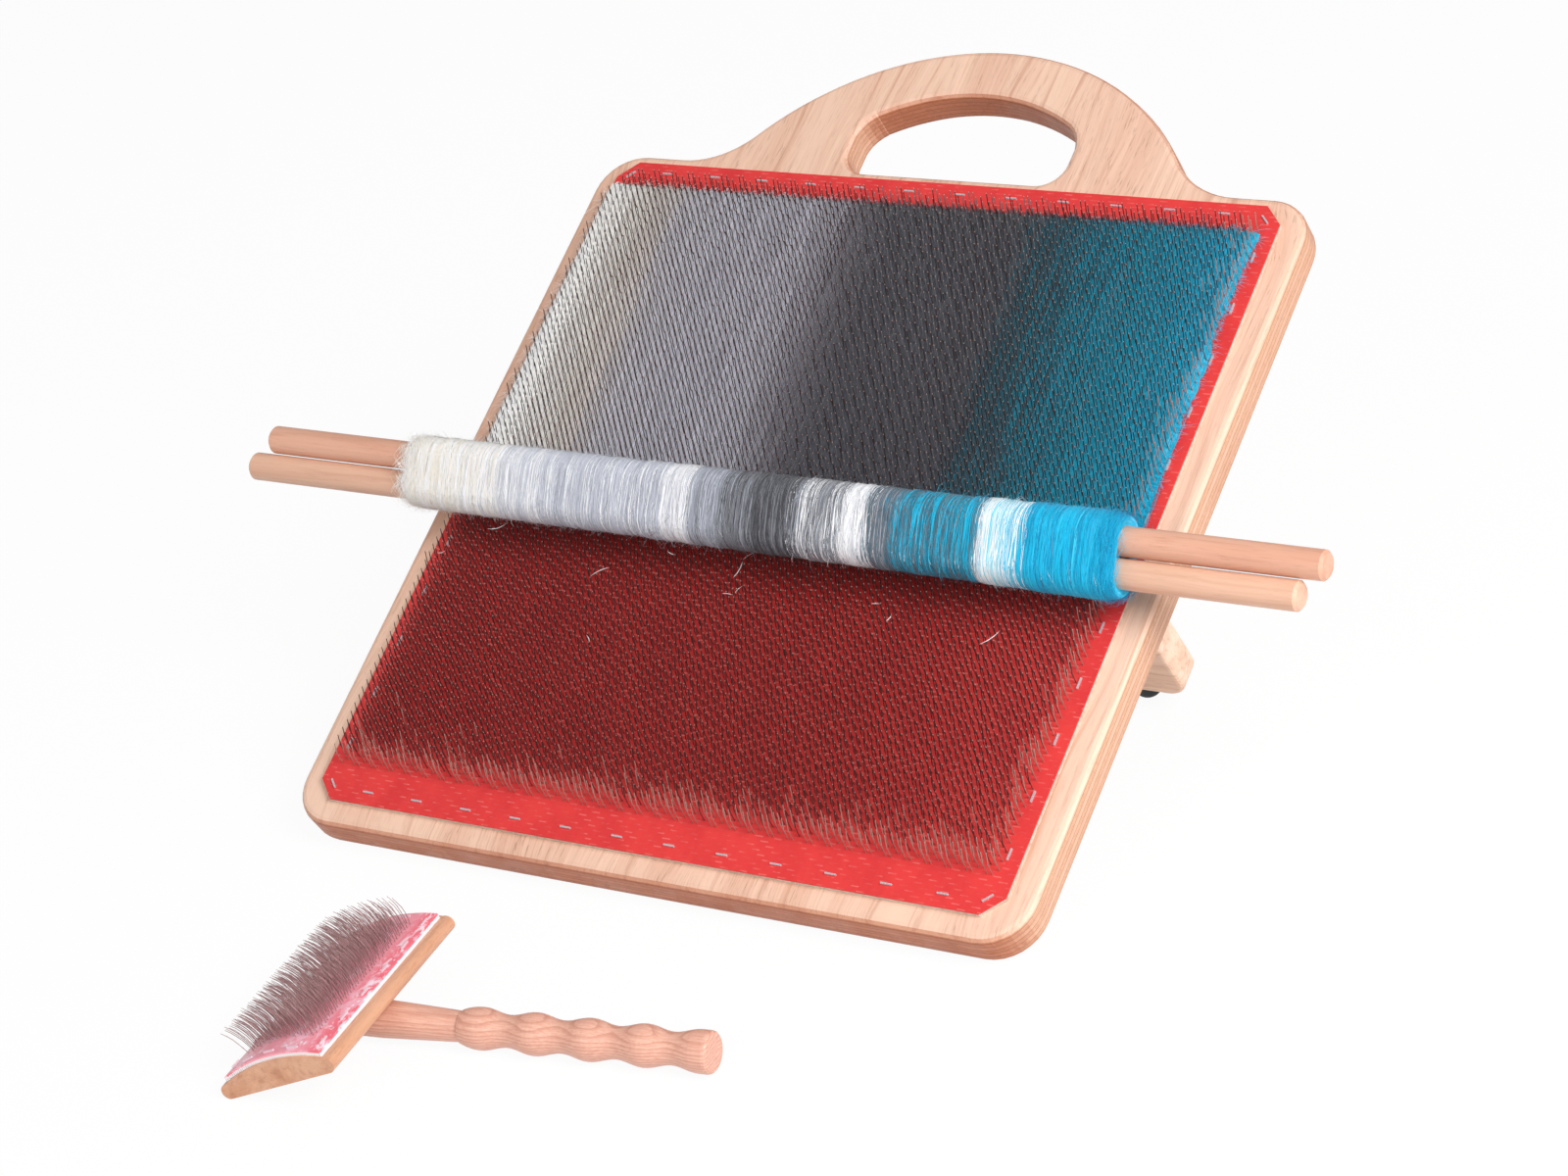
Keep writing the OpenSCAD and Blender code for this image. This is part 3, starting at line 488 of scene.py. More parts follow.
pink, nt, b = new_mat("pink_film", rough=0.30)
v = head_mm(nt)
x, y, _ = split(nt, v)
folds = noise(nt, stretch(nt, v, 1, 0.5, 1), 0.32, 4, 0.6, 1.2)
blotch = noise(nt, v, 0.13, 3, 0.6)
edge = step(nt, calc(nt, "ABSOLUTE", calc(nt, "SUBTRACT", x, HEAD_W / 2)), 15.0, 23.0)
col = mix(nt, edge, lin(246, 158, 172), lin(240, 112, 128))
col = mix(nt, step(nt, blotch, 0.50, 0.62, 0, 0.6), col, lin(252, 204, 220))
SEAM_Y = -41.5
seam = step(nt, calc(nt, "ABSOLUTE", calc(nt, "SUBTRACT", y, SEAM_Y)), 2.2, 0.6)
# Painted glints: lighter pink along the seam and the pad's sides, on the folds
painted_glints = calc(nt, "MULTIPLY", calc(nt, "MAXIMUM", seam, edge), step(nt, folds, 0.52, 0.60, 0, 0.75))
col = mix(nt, painted_glints, col, lin(255, 240, 246))
nt.links.new(col, b.inputs["Base Color"])
bump(nt, b, folds, 0.0006, 0.7)

# Wool colours

WOOL = {
    "cream": (243, 238, 228), "white": (247, 247, 249), "pearl": (204, 207, 218), "dove": (168, 172, 184),
    "grey": (128, 130, 137), "coal": (74, 74, 80), "slate": (92, 112, 126), "deep": (4, 124, 156),
    "teal": (0, 190, 232), "sky": (104, 216, 238), "ocean": (0, 150, 196), "bright": (60, 208, 242)}
WOOL_NAMES = list(WOOL)
wool_mats = [
    plain("wool_" + key, WOOL[key], 0.85, Sheen_Weight=0.12, Sheen_Roughness=0.4) for key in WOOL_NAMES]


def pick(place, table):
    """Wool colour index of each strand: table rows are (upper x, {colour: share})."""
    out = np.zeros(len(place), int)
    low = -np.inf
    for high, shares in table:
        inside = (place >= low) & (place < high)
        names = np.array([WOOL_NAMES.index(k) for k in shares])
        odds = np.array(list(shares.values()), float)
        out[inside] = names[RNG.choice(len(names), inside.sum(), p=odds / odds.sum())]
        low = high
    return out


def wool_surface(name, coords, stops, streak, wander=(16.0, 22.0)):
    """Fibre surface: colour by x in stops (x, colour), streaks along one direction."""
    m, nt, b = new_mat(name, rough=0.85, Sheen_Weight=0.15, Sheen_Roughness=0.45)
    v = coords(nt)
    x, _, _ = split(nt, v)
    lo, hi = stops[0][0], stops[-1][0]
    st = stretch(nt, v, *streak)
    wob = noise(nt, stretch(nt, v, 0.25, 0.25, 0.25), 0.12, 3)
    fine = noise(nt, st, 1.0, 3, 0.7)
    at = calc(nt, "ADD", x, calc(nt, "MULTIPLY", calc(nt, "SUBTRACT", fine, 0.5), wander[0]))
    at = calc(nt, "ADD", at, calc(nt, "MULTIPLY", calc(nt, "SUBTRACT", wob, 0.5), wander[1]))
    fac = calc(nt, "DIVIDE", calc(nt, "SUBTRACT", at, lo), hi - lo)
    col = ramp(nt, fac, [((s[0] - lo) / (hi - lo), lin(*s[1])) for s in stops])
    thin = noise(nt, st, 2.6, 2, 0.7)
    col = mix(nt, step(nt, thin, 0.45, 0.72, 0, 0.30), col, (0.02, 0.02, 0.025, 1))
    col = mix(nt, step(nt, thin, 0.50, 0.25, 0, 0.22), col, (0.95, 0.96, 1, 1))
    nt.links.new(col, b.inputs["Base Color"])
    bump(nt, b, calc(nt, "ADD", fine, thin), 0.0005, 0.8)
    return m


# Carding pins

CLOTH_TOP = 18.5
CLOTH_X, CLOTH_Y1, CORNER_CUT = 163.5, 341.0, 29
FIELD = (-159.4, 158.2, 27.3, 326.6)
PAIR_GAP, ROW_SHIFT = 2.25, 4.45
ROWS, PAIRS = 152, 38
FOOT_DEPTH, KNEE_H, POINT_H = 0.6, 5.6, 10.2
LEG_LEAN, UPPER_LEAN = 0.21, 0.56
WIRE_RADII = [0.23, 0.23, 0.23, 0.21, 0.12]
SHADED_STEEL, TIP_GLINT, LIT_LEG, LIT_EDGE, GLINT_GREY = range(5)
wire_mats = [pin_shaded_steel, pin_tip_glint, pin_lit_leg, pin_lit_edge, pin_glint_grey]

gy = np.linspace(FIELD[2], FIELD[3], ROWS)[:, None]
gx = FIELD[0] - PAIR_PITCH + np.repeat(np.arange(PAIRS), 2) * PAIR_PITCH + np.tile([0, PAIR_GAP], PAIRS)
gx = gx[None] + np.arange(ROWS)[:, None] * ROW_SHIFT % PAIR_PITCH
gy = np.broadcast_to(gy, gx.shape)
inside = (gx > FIELD[0]) & (gx < FIELD[1]) & (CLOTH_X + gx + CLOTH_Y1 - gy > CORNER_CUT)
foot = np.stack([gx[inside], gy[inside]], -1)
foot += RNG.normal(0, 0.04, foot.shape)
n = len(foot)
lean = RNG.normal(0, 0.013, (n, 2))
knee = KNEE_H + RNG.normal(0, 0.12, n)
point = POINT_H + RNG.normal(0, 0.10, n)
knee_y = foot[:, 1] + (LEG_LEAN + lean[:, 1]) * knee

# Each wire is a foot in the cloth, a knee, a place just past it, one near the point, and the point
pts = np.zeros((n, 5, 3))
pts[:, 0, :2] = foot
pts[:, 0, 2] = CLOTH_TOP - FOOT_DEPTH
pts[:, 1] = np.stack([foot[:, 0] + lean[:, 0] * knee, knee_y, CLOTH_TOP + knee], -1)
pts[:, 4] = pts[:, 1]
pts[:, 4, 0] += lean[:, 0] * 1.6 * (point - knee)
pts[:, 4, 1] += (UPPER_LEAN + lean[:, 1]) * (point - knee)
pts[:, 4, 2] = CLOTH_TOP + point
pts[:, 2] = pts[:, 1] + 0.12 * (pts[:, 4] - pts[:, 1]) + [0, 0.02, 0.05]
pts[:, 3] = pts[:, 1] + 0.92 * (pts[:, 4] - pts[:, 1])
co, fa = tubes(pts, WIRE_RADII, np.array([1.0, 0, 0]))

# The outer wires at the bottom and right are painted pale as painted light, and most of those in the dark
# wool a lighter grey as painted glints
from_edge = np.minimum(foot[:, 1] - FIELD[2], 1.3 * (FIELD[1] - foot[:, 0]))
lit_edge_mask = from_edge < RNG.gamma(2.0, 3.2, n)
looks = np.tile([LIT_LEG, SHADED_STEEL, SHADED_STEEL, TIP_GLINT], (n, 1))
looks[lit_edge_mask] = [LIT_EDGE, LIT_EDGE, LIT_EDGE, TIP_GLINT]
COAL_X, COAL_HALF, COAL_Y = 18, 46, 158
glint_in_coal = (foot[:, 1] > COAL_Y) & (np.abs(foot[:, 0] - COAL_X) < COAL_HALF) & (np.arange(n) % 3 > 0)
looks[glint_in_coal] = [LIT_LEG, GLINT_GREY, GLINT_GREY, TIP_GLINT]
pins = make("carding_wires", to_row(co), fa, wire_mats, looks.ravel().repeat(TUBE_SIDES))
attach(pins, "stand")
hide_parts("carding_pins")

# Wool on the board

BATT = [(-162, (255, 255, 255)), (-149, (255, 253, 250)), (-138, (232, 224, 218)), (-124, (224, 215, 210)),
        (-112, (206, 204, 211)), (-86, (196, 195, 205)), (-42, (184, 183, 193)), (-24, (116, 114, 122)),
        (-6, (76, 78, 85)), (30, (70, 72, 79)), (60, (66, 69, 76)), (78, (30, 88, 104)),
        (98, (8, 124, 148)), (126, (2, 140, 168)), (146, (2, 148, 180)), (162, (4, 160, 196))]
LAYER_T, LAYER_FOOT, ROUND_OVER = 4.0, 0.4, 7.0
SWELL_H, SWELL_X, SWELL_W = 2.3, -155, 8.0
batt_skin = wool_surface("batt_skin", board_mm, BATT, (1.0, 0.05, 1.0))


def rounded(dist):
    """Rise of a rounded edge, from 0 at the edge to 1 at ROUND_OVER in from it."""
    ease = np.clip(dist / ROUND_OVER, 0, 1)
    return np.sqrt(1 - (1 - ease) ** 2)


def layer_height(x, dist):
    """Height of the wool layer at x and dist in from its nearest edge, swollen at the left."""
    swell = SWELL_H * np.exp(-((x - SWELL_X) / SWELL_W) ** 2)
    return CLOTH_TOP + LAYER_FOOT + rounded(dist) * (LAYER_T - LAYER_FOOT + swell)


def ragged(count):
    """A wandering line: random heights averaged over nine places."""
    return np.convolve(RNG.normal(0, 1, count + 8), np.ones(9) / 9, "valid")


nx, ny = 240, 120
ux, uy = np.meshgrid(np.linspace(0, 1, nx), np.linspace(0, 1, ny))
left, right, low, high = -162.3, 156.5, 158.0, 326.0
ragged_side = ragged(ny)
edge_l = left + 1.6 * ragged_side
edge_r = right + 2.2 * ragged_side[::-1]
X = edge_l[:, None] * (1 - ux) + edge_r[:, None] * ux
top_edge = high + 1.2 * ragged(nx)
foot_edge = low + 5.0 * ragged(nx)
Y = foot_edge[None] * (1 - uy) + top_edge[None] * uy
dist = np.minimum(np.minimum(X - edge_l[:, None], edge_r[:, None] - X), high + 1 - Y)
dist = np.minimum(dist, Y - foot_edge[None])
ridges = RNG.normal(0, 1, (ny, nx))
even = np.ones(15) / 15
ridges = np.apply_along_axis(lambda column: np.convolve(column, even, "same"), 0, ridges)
Z = layer_height(X, dist) + 0.6 * ridges * rounded(dist)
co = np.stack([X, Y, Z], -1).reshape(-1, 3)
ids = np.arange(nx * ny).reshape(ny, nx)
quads = np.stack([ids[:-1, :-1], ids[:-1, 1:], ids[1:, 1:], ids[1:, :-1]], -1).reshape(-1, 4)
batt = make("wool_layer", to_row(co), quads, [batt_skin])
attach(batt, "stand")
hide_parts("fibre_batt")

TINTS = 34
STOP_X = [stop[0] for stop in BATT]


def tint_mats(name, gain=1.0):
    """Constant colours along the layer's stops, for strands too thin to need a pattern."""
    colours = np.array([stop[1] for stop in BATT], float)
    out = []
    for i, at in enumerate(np.linspace(STOP_X[0], STOP_X[-1], TINTS)):
        rgb = [min(255, gain * np.interp(at, STOP_X, colours[:, k])) for k in range(3)]
        out.append(plain(f"{name}_{i}", rgb, 0.8, Sheen_Weight=0.2, Sheen_Roughness=0.4))
    return out


def tint_index(x):
    """Index of the constant colour at x."""
    share = (x - STOP_X[0]) / (STOP_X[-1] - STOP_X[0])
    return np.clip(np.rint(share * (TINTS - 1)), 0, TINTS - 1).astype(int)


# The second set is each colour made lighter, as painted highlights
batt_mats = tint_mats("layer_tint") + tint_mats("layer_painted_light", 1.16)

# Fibres that lie up the layer
nf = 9000
sx = RNG.uniform(left + 0.5, right - 0.5, nf)
RNG.normal(0, 5, nf)  # has no use of its own, but every later draw depends on it
length = RNG.uniform(18, 70, nf)[:, None]
y0 = RNG.uniform(low - 9, high - 6, nf)[:, None]
t = np.linspace(0, 1, 8)[None]
yy = np.minimum(y0 + length * t, high + 1.5 + RNG.normal(0, 1.2, nf)[:, None])
phase = RNG.uniform(0, 6.28, (nf, 1))
drift = RNG.normal(0, 0.02, (nf, 1)) * length * t
wave = 0.45 * np.sin(phase + t * RNG.uniform(2, 9, (nf, 1)))
xx = sx[:, None] + drift + wave
xx += (yy - 242) * -0.05 * np.clip((xx + 60) / 200, 0, 1)
in_x = np.clip(xx, left, right)
dist = np.minimum(np.minimum(in_x - left, right - in_x), np.minimum(high + 1 - yy, yy - low))
zz = layer_height(in_x, dist) + RNG.uniform(0.0, 0.7, (nf, 1)) + 0.2 * np.sin(phase * 3 + 7 * t)
co, fa, per = ribbons(np.stack([xx, yy, zz], -1), RNG.uniform(0.14, 0.42, nf), ABOVE)
near_teal = np.clip((sx - 50) / 30, 0, 1)
spread = RNG.normal(0, 1, nf) * (3 + 15 * near_teal * (sx < 112))
tint = tint_index(sx + spread + (yy.mean(1) - 245) * 0.10)
# A quarter of the fibres take the lighter set, as painted highlights
tint += TINTS * (RNG.uniform(0, 1, nf) < 0.25)
fibres = make("wool_layer_fibres", to_row(co), fa, batt_mats, np.repeat(tint, per))
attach(fibres, "stand")

# Loose fibres along the layer's sides and top
nf = 2600
side = RNG.choice(4, nf, p=[0.38, 0.30, 0.22, 0.10])
fy = RNG.uniform(low, high - 2, nf)
fx = np.where(side == 0, left + RNG.uniform(0, 3, nf), right - RNG.uniform(0, 3, nf))
fx = np.where(side >= 2, RNG.uniform(left + 4, right - 2, nf), fx)
fy = np.where(side >= 2, high + RNG.uniform(-3, 0.5, nf), fy)
heading = np.where(side == 0, np.pi, np.where(side == 1, 0, np.pi / 2)) + RNG.normal(0, 0.65, nf)
reach = (RNG.gamma(2.2, 1.1, nf) + 0.8)[:, None]
t = np.linspace(0, 1, 6)[None]
curl = RNG.normal(0, 0.9, (nf, 1)) * 0.4 * t ** 2
ahead_x, ahead_y = np.cos(heading)[:, None], np.sin(heading)[:, None]
px = fx[:, None] + reach * (ahead_x * t - ahead_y * curl)
py = fy[:, None] + reach * (ahead_y * t + ahead_x * curl)
pz = CLOTH_TOP + LAYER_FOOT + RNG.uniform(0.4, 4.2, (nf, 1)) * (1 - 0.5 * t)
co, fa, per = ribbons(np.stack([px, py, pz], -1), RNG.uniform(0.06, 0.15, nf), ABOVE)
# The loose fibres take the lighter set, as painted light on the layer's edges
tint = tint_index(fx + RNG.normal(0, 4, nf)) + TINTS
fuzz = make("wool_layer_fuzz", to_row(co), fa, batt_mats, np.repeat(tint, per))
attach(fuzz, "stand")

# Shining filaments caught in the bare wires
caught = 14
cx = RNG.uniform(-150, 140, caught)
cy = np.concatenate([RNG.uniform(90, 145, 5), RNG.uniform(122, 150, caught - 5)])
cx[5:] = RNG.uniform(-156, 20, caught - 5)
t = np.linspace(0, 1, 8)[None]
reach = RNG.uniform(3, 11, (caught, 1))
heading = RNG.uniform(0, 2 * np.pi, (caught, 1)) + RNG.normal(0, 0.35, (caught, 1)) * t
fx = cx[:, None] + reach * t * np.cos(heading)
fy = cy[:, None] + reach * t * np.sin(heading)
fz = CLOTH_TOP + RNG.uniform(9.6, 10.8, (caught, 1)) - 0.8 * t
co, fa, per = ribbons(np.stack([fx, fy, fz], -1), RNG.uniform(0.18, 0.34, caught), ABOVE)
caught_fibres = make("caught_filaments", to_row(co), fa, [filament])
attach(caught_fibres, "stand")

# Wool on the rods

# Half the distance between the rods' axes, the slope from the lower to the upper, the pair's middle,
# and half the length of the wool round them, with its middle a little above theirs
HALF, SLANT = 6.2, math.radians(29.7)
LOWER_Y, LOWER_Z = 150.6, 39.5
PAIR_Y, PAIR_Z = LOWER_Y + HALF * math.cos(SLANT), LOWER_Z + HALF * math.sin(SLANT)
WOOL_L, WOOL_UP = 171.0, 0.5


def around(phase, r):
    """Place and outward direction on a round-ended path round both rods."""
    arc = np.pi * r
    s = (phase % 1.0) * (4 * HALF + 2 * arc)
    far = s >= 2 * HALF + arc
    along = np.where(far, s - 2 * HALF - arc, s)
    a = np.where(along < 2 * HALF, np.pi / 2, np.pi / 2 - (along - 2 * HALF) / r)
    out_u, out_v = np.cos(a), np.sin(a)
    u, v = np.minimum(along, 2 * HALF) - HALF + r * out_u, r * out_v
    sign = np.where(far, -1.0, 1.0)
    return sign * u, sign * v, sign * out_u, sign * out_v


def slanted(u, v):
    """A direction of the pair of rods as the board's y and z."""
    c, s = math.cos(SLANT), math.sin(SLANT)
    return c * u - s * v, s * u + c * v


def pair_to_board(x, u, v):
    y, z = slanted(u, v)
    return np.stack([x, PAIR_Y + y, PAIR_Z + WOOL_UP + z], -1)


def outward(u, v):
    y, z = slanted(u, v)
    return np.stack([np.zeros_like(y), y, z], -1)


def smooth_noise(count, width):
    window = np.hanning(width + 2)[1:-1] / np.sqrt(width)
    return np.convolve(RNG.normal(0, 1, count + width - 1), window, "valid")


GROOVES = 1000
groove_x = np.linspace(-WOOL_L, WOOL_L, GROOVES)
groove = 0.20 * smooth_noise(GROOVES, 5) + 0.30 * smooth_noise(GROOVES, 13)
groove = groove + 0.35 * smooth_noise(GROOVES, 41)
RADIUS_X = [-171, -120, -40, 40, 100, 135, 171]
RADIUS = [8.9, 9.2, 9.5, 9.9, 10.1, 11.0, 11.0]
WAIST_X, WAIST_W, WAIST_DEPTH = 125, 5.5, 0.5
END_L, END_DEPTH = 9.0, 2.0


def wool_r(x, phase):
    """Radius of the wound wool about each rod's axis."""
    r = np.interp(x, RADIUS_X, RADIUS)
    r = r - WAIST_DEPTH * np.exp(-((x - WAIST_X) / WAIST_W) ** 2)
    r = r + np.interp(x + 1.4 * np.sin(2 * np.pi * phase), groove_x, groove) * 0.42
    end = np.clip((WOOL_L - np.abs(x)) / END_L, 0, 1)
    return np.minimum(r, max(RADIUS)) - END_DEPTH * (1 - np.sqrt(np.clip(1 - (1 - end) ** 2, 0, 1)))


BANDS = [(-171, (244, 240, 233)), (-142, (240, 238, 233)), (-108, (220, 222, 229)), (-90, (206, 209, 219)),
         (-60, (186, 191, 205)), (-39, (190, 194, 207)), (-31, (236, 236, 241)), (-22, (180, 184, 196)),
         (-4, (128, 131, 138)), (14, (92, 94, 101)), (28, (112, 114, 121)), (42, (150, 152, 158)),
         (54, (236, 237, 240)), (64, (124, 128, 137)), (80, (44, 134, 156)), (94, (58, 122, 140)),
         (109, (30, 164, 194)), (113, (232, 242, 246)), (122, (214, 236, 243)), (130, (54, 202, 232)),
         (136, (2, 190, 232)), (171, (0, 184, 228))]


rod_skin = wool_surface("rod_wool_skin", board_mm, BANDS, (1.6, 0.06, 0.06), wander=(4.0, 5.0))
steps_along, steps_round = 900, 64
xs = np.linspace(-WOOL_L, WOOL_L, steps_along)
ph = np.arange(steps_round) / steps_round
XX, PP = np.meshgrid(xs, ph, indexing="ij")
RR = wool_r(XX, PP) + RNG.normal(0, 0.03, XX.shape)
u, v, _, _ = around(PP, RR)
co = pair_to_board(XX, u, v)
CAP_R, CAP_IN = 5.2, 1.5
u, v, _, _ = around(ph, np.full(steps_round, CAP_R))
cap_x = WOOL_L - CAP_IN
caps = [pair_to_board(np.full(steps_round, x), u, v)[None] for x in (-cap_x, cap_x)]
co = np.concatenate([caps[0], co, caps[1]])
ids = np.arange(co.shape[0] * steps_round).reshape(-1, steps_round)
nxt = np.roll(ids, -1, 1)
quads = np.stack([ids[:-1], nxt[:-1], nxt[1:], ids[1:]], -1).reshape(-1, 4)
winding = make("wool_winding", to_row(co.reshape(-1, 3)), quads, [rod_skin])
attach(winding, "wool")
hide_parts("wool_core", "wool_roving")

ROD_PICK = [
    (-140, {"cream": 6, "white": 4}),
    (-120, {"cream": 3, "white": 5, "pearl": 1}),
    (-98, {"white": 4, "pearl": 5}),
    (-37, {"pearl": 8, "dove": 2, "white": 2}),
    (-25, {"white": 7, "pearl": 2}),
    (-10, {"dove": 5, "pearl": 3, "grey": 2}),
    (6, {"grey": 5, "dove": 2, "coal": 3}),
    (26, {"coal": 7, "grey": 3}),
    (47, {"grey": 4, "dove": 3, "white": 2, "coal": 1}),
    (60, {"white": 8, "pearl": 2}),
    (72, {"slate": 5, "grey": 3, "dove": 1, "deep": 1}),
    (88, {"deep": 3, "teal": 3, "slate": 4}),
    (111, {"teal": 4, "slate": 3, "deep": 3}),
    (117, {"white": 8, "sky": 1}),
    (123, {"white": 5, "sky": 3}),
    (130, {"white": 4, "sky": 3, "teal": 3}),
    (400, {"teal": 6, "ocean": 4, "bright": 1})]


def wound(count, turns, points, lifts, drift):
    """Strands wound round the rods: their paths, outward directions and middles along x."""
    x0 = RNG.uniform(-WOOL_L + 2, WOOL_L - 2, count)
    start = RNG.uniform(0, 1, count)
    turn = RNG.uniform(*turns, count)
    t = np.linspace(0, 1, points)[None]
    phase = start[:, None] + turn[:, None] * t
    sway = 0.25 * np.sin(6.3 * (phase + start[:, None]))
    x = x0[:, None] + RNG.normal(0, drift, (count, 1)) * (t - 0.5) + sway
    x = np.clip(x, -WOOL_L + 0.5, WOOL_L - 0.5)
    lift = RNG.uniform(*lifts, (count, 1)) + 0.06 * np.sin(9 * phase + 20 * start[:, None])
    u, v, out_u, out_v = around(phase, wool_r(x, phase) + lift)
    return pair_to_board(x, u, v), outward(out_u, out_v), x0


paths, out, x0 = wound(3600, (0.3, 1.0), 24, (0.02, 0.34), 3.0)
co, fa, per = ribbons(paths, RNG.uniform(0.12, 0.42, len(paths)), out)
tint = pick(x0 + RNG.normal(0, 1.6, len(x0)), ROD_PICK)
strands = make("wool_winding_strands", to_row(co), fa, wool_mats, np.repeat(tint, per))
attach(strands, "wool")

# Fibres that stand off the winding, with more of them at both ends
nf, at_end = 6400, 1100
x0 = np.concatenate([
    RNG.uniform(-WOOL_L, WOOL_L, nf - 2 * at_end),
    -WOOL_L + RNG.uniform(0, 9, at_end),
    WOOL_L - RNG.uniform(0, 9, at_end)])
start = RNG.uniform(0, 1, nf)
t = np.linspace(0, 1, 6)[None]
span = RNG.uniform(0.03, 0.16, nf) * RNG.choice([-1, 1], nf)
rise = RNG.gamma(1.8, 0.52, nf)
phase = start[:, None] + span[:, None] * t
out_x = np.zeros(nf)
out_x[-2 * at_end:-at_end] = -RNG.uniform(1, 7, at_end)
out_x[-at_end:] = RNG.uniform(0, 5, at_end)
xw = x0[:, None] + (RNG.normal(0, 1.4, nf) + out_x)[:, None] * t
r = wool_r(np.clip(xw, -WOOL_L + 0.3, WOOL_L - 0.3), phase)
r = r + rise[:, None] * np.sin(np.pi * np.minimum(t * 0.75, 1))
u, v, out_u, out_v = around(phase, r)
paths, out = pair_to_board(xw, u, v), outward(out_u, out_v)
co, fa, per = ribbons(paths, RNG.uniform(0.07, 0.16, nf), out)
tint = pick(x0 + RNG.normal(0, 2.0, nf), ROD_PICK)
halo = make("wool_winding_fuzz", to_row(co), fa, wool_mats, np.repeat(tint, per))
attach(halo, "wool")

# Sparkling filaments wound in, thick in two stretches and sparse elsewhere
paths, out, x0 = wound(900, (0.04, 0.16), 6, (0.20, 0.42), 2.5)
keep = ((x0 > -45) & (x0 < -25)) | ((x0 > 20) & (x0 < 112)) | (RNG.uniform(0, 1, len(x0)) < 0.12)
paths, out = paths[keep], out[keep]
co, fa, per = ribbons(paths, RNG.uniform(0.09, 0.2, len(paths)), out)
glint = make("wool_glitter", to_row(co), fa, [sparkle])
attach(glint, "wool")

# Brush

BRISTLE_ROWS, BRISTLE_COLS, BRISTLE_PITCH, BRISTLE_MID = 17, 38, 2.04, 1.5
BRISTLE_H, BEND, BEND_FROM, HOOK = 13.5, 0.10, 0.35, 0.85
BRISTLE_RADII = [0.17, 0.17, 0.17, 0.16, 0.15, 0.11]
steps = len(BRISTLE_RADII) - 1
br, bk = np.meshgrid(np.arange(BRISTLE_ROWS), np.arange(BRISTLE_COLS), indexing="ij")
sweep = math.asin((HEAD_W / 2 - PAD_SIDE - 7.5) / (ARCH_R + PAD_T))
turn = sweep * (2 * br / (BRISTLE_ROWS - 1) - 1)
by = (bk + 0.5 * (br % 2) - (BRISTLE_COLS - 0.5) / 2) * BRISTLE_PITCH + BRISTLE_MID
turn = turn.ravel() + RNG.normal(0, 0.003, turn.size)
by = by.ravel() + RNG.normal(0, 0.12, by.size)
foot_r = ARCH_R + PAD_T - 0.1
n = len(turn)
t = np.linspace(0, 1, steps + 1)
part = (BRISTLE_H + RNG.normal(0, 0.35, n)) / steps
bend = BEND + RNG.normal(0, 0.03, n)
paths = np.zeros((n, steps + 1, 3))
paths[:, 0] = np.stack([HEAD_W / 2 + foot_r * np.sin(turn), by, ARCH_Z + foot_r * np.cos(turn)], -1)
for i in range(1, steps + 1):
    a = turn - bend - np.clip(t[i] - BEND_FROM, 0, 1) * (HOOK + RNG.normal(0, 0.05, n))
    sideways = RNG.normal(0, 0.04, n)
    paths[:, i] = paths[:, i - 1] + part[:, None] * np.stack([np.sin(a), sideways, np.cos(a)], -1)
co, fa = tubes(paths, BRISTLE_RADII, np.array([0, 1.0, 0]))
bristles = make("brush_wires", head_to_row(co), fa, [bristle_steel])
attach(bristles, "brush")
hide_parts("brush_bristles")

# Carried-over CAD nodes

LOOKS = {
    "board": ply, "keel": keel_wood, "hinge_block_left": block_wood, "hinge_block_right": block_wood,
    "cloth_base": woven, "cloth_face": red_rubber, "cloth_staples": staple_steel, "block_screws": zinc,
    "washers": zinc, "thread_inserts": brass, "rubber_feet": foot_rubber, "wing_bolt_left": zinc,
    "wing_bolt_right": zinc, "rod_upper": rod_wood, "rod_lower": pale_rod_wood, "brush_head": head_wood,
    "brush_cloth_base": brush_cloth, "brush_cloth_face": pink, "brush_staples": brush_staple_steel,
    "brush_peg": head_wood, "brush_handle": handle_wood}
for name, m in LOOKS.items():
    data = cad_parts[name].data
    data.materials.clear()
    data.materials.append(m)

# Stage, light and camera

FLOOR_HALF, FLOOR_Z, FLOOR_GLOW, WORLD_LIGHT = 9.0, -0.0004, 0.94, 0.34
floor_mat, nt, b = new_mat("floor", (0.9, 0.9, 0.9, 1), 0.9)
out = nt.nodes["Material Output"]
glow = node(nt, "ShaderNodeEmission", {"Color": (1, 1, 1, 1), "Strength": 1.0})
path = node(nt, "ShaderNodeLightPath")
seen = calc(nt, "MAXIMUM", path.outputs["Is Camera Ray"], path.outputs["Is Glossy Ray"])
seen = calc(nt, "MAXIMUM", seen, path.outputs["Is Transmission Ray"])
blend = node(nt, "ShaderNodeMixShader", {0: calc(nt, "MULTIPLY", seen, FLOOR_GLOW)})
nt.links.new(b.outputs[0], blend.inputs[1])
nt.links.new(glow.outputs[0], blend.inputs[2])
nt.links.new(blend.outputs[0], out.inputs[0])
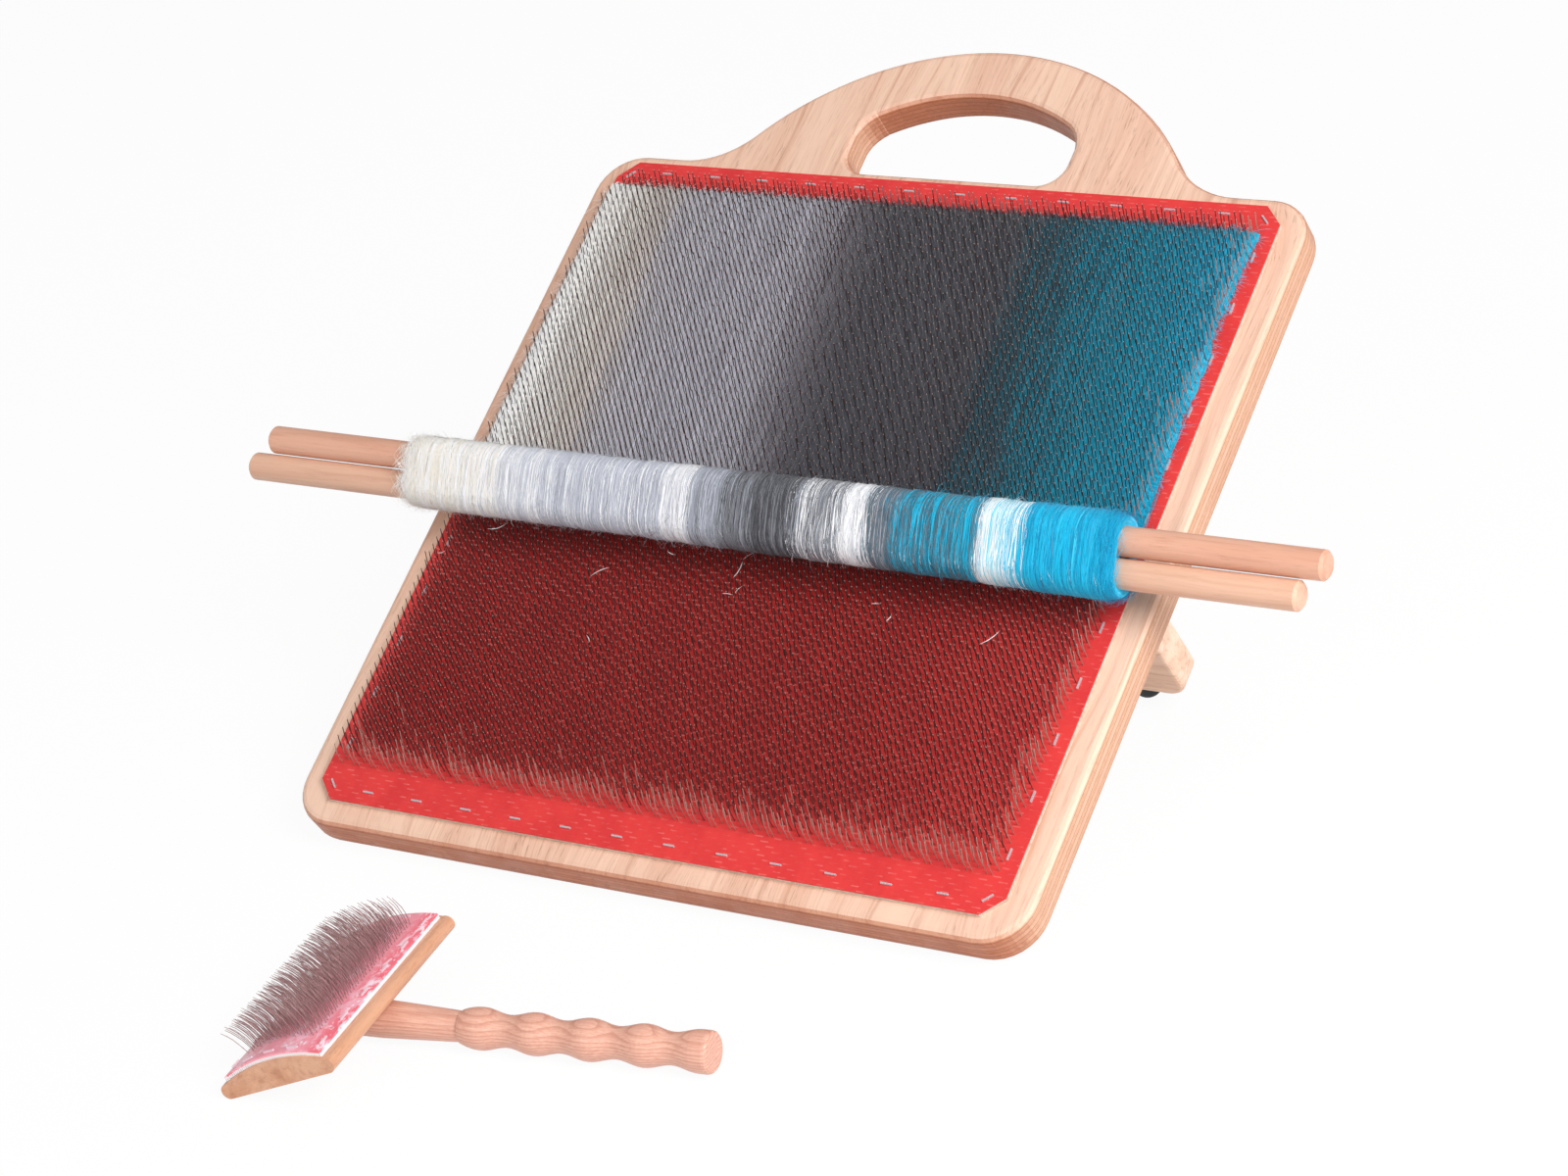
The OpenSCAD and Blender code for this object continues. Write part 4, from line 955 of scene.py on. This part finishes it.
corners = [(x * FLOOR_HALF, y * FLOOR_HALF, FLOOR_Z) for x, y in ((-1, -1), (1, -1), (1, 1), (-1, 1))]
floor = make("floor", corners, [[0, 1, 2, 3]], [floor_mat])

world = bpy.data.worlds.new("studio")
bpy.context.scene.world = world
world.use_nodes = True
bg = world.node_tree.nodes["Background"]
bg.inputs["Color"].default_value = (1, 1, 1, 1)
bg.inputs["Strength"].default_value = WORLD_LIGHT


def lamp(name, place, aim, size, power):
    light = bpy.data.lights.new(name, "AREA")
    light.shape = "RECTANGLE"
    light.size, light.size_y = size
    light.energy = power
    ob = bpy.data.objects.new(name, light)
    bpy.context.scene.collection.objects.link(ob)
    ob.location = place
    direction = np.array(aim, float) - np.array(place, float)
    ob.rotation_euler = Vector(direction).to_track_quat("-Z", "Y").to_euler()


lamp("key", (1.45, -0.40, 1.25), (0.0, 0.12, 0.1), (1.0, 1.0), 40)
lamp("front", (-0.1, -2.4, 1.6), (0.0, 0.1, 0.1), (1.8, 1.0), 20)

# The camera's focal length and the photograph's width in pixels, then its place and directions
FOCAL_PX, PHOTO_W, SENSOR_W = 4259.1, 1600, 36.0
cam_data = bpy.data.cameras.new("camera")
cam_data.sensor_fit = "HORIZONTAL"
cam_data.sensor_width = SENSOR_W
cam_data.lens = FOCAL_PX / PHOTO_W * SENSOR_W
cam_data.clip_start, cam_data.clip_end = 0.05, 60
camera = bpy.data.objects.new("camera", cam_data)
bpy.context.scene.collection.objects.link(camera)
EYE = (0.9148, -1.0850, 0.841045)
RIGHT = (0.83609, 0.520299, -0.173916)
DOWN = (0.11162, -0.471722, -0.874657)
AHEAD = (-0.53712, 0.711873, -0.45247)
camera.matrix_world = Matrix((
    (RIGHT[0], -DOWN[0], -AHEAD[0], EYE[0]),
    (RIGHT[1], -DOWN[1], -AHEAD[1], EYE[1]),
    (RIGHT[2], -DOWN[2], -AHEAD[2], EYE[2]),
    (0, 0, 0, 1)))
bpy.context.scene.camera = camera
bpy.context.scene.view_settings.view_transform = "Standard"
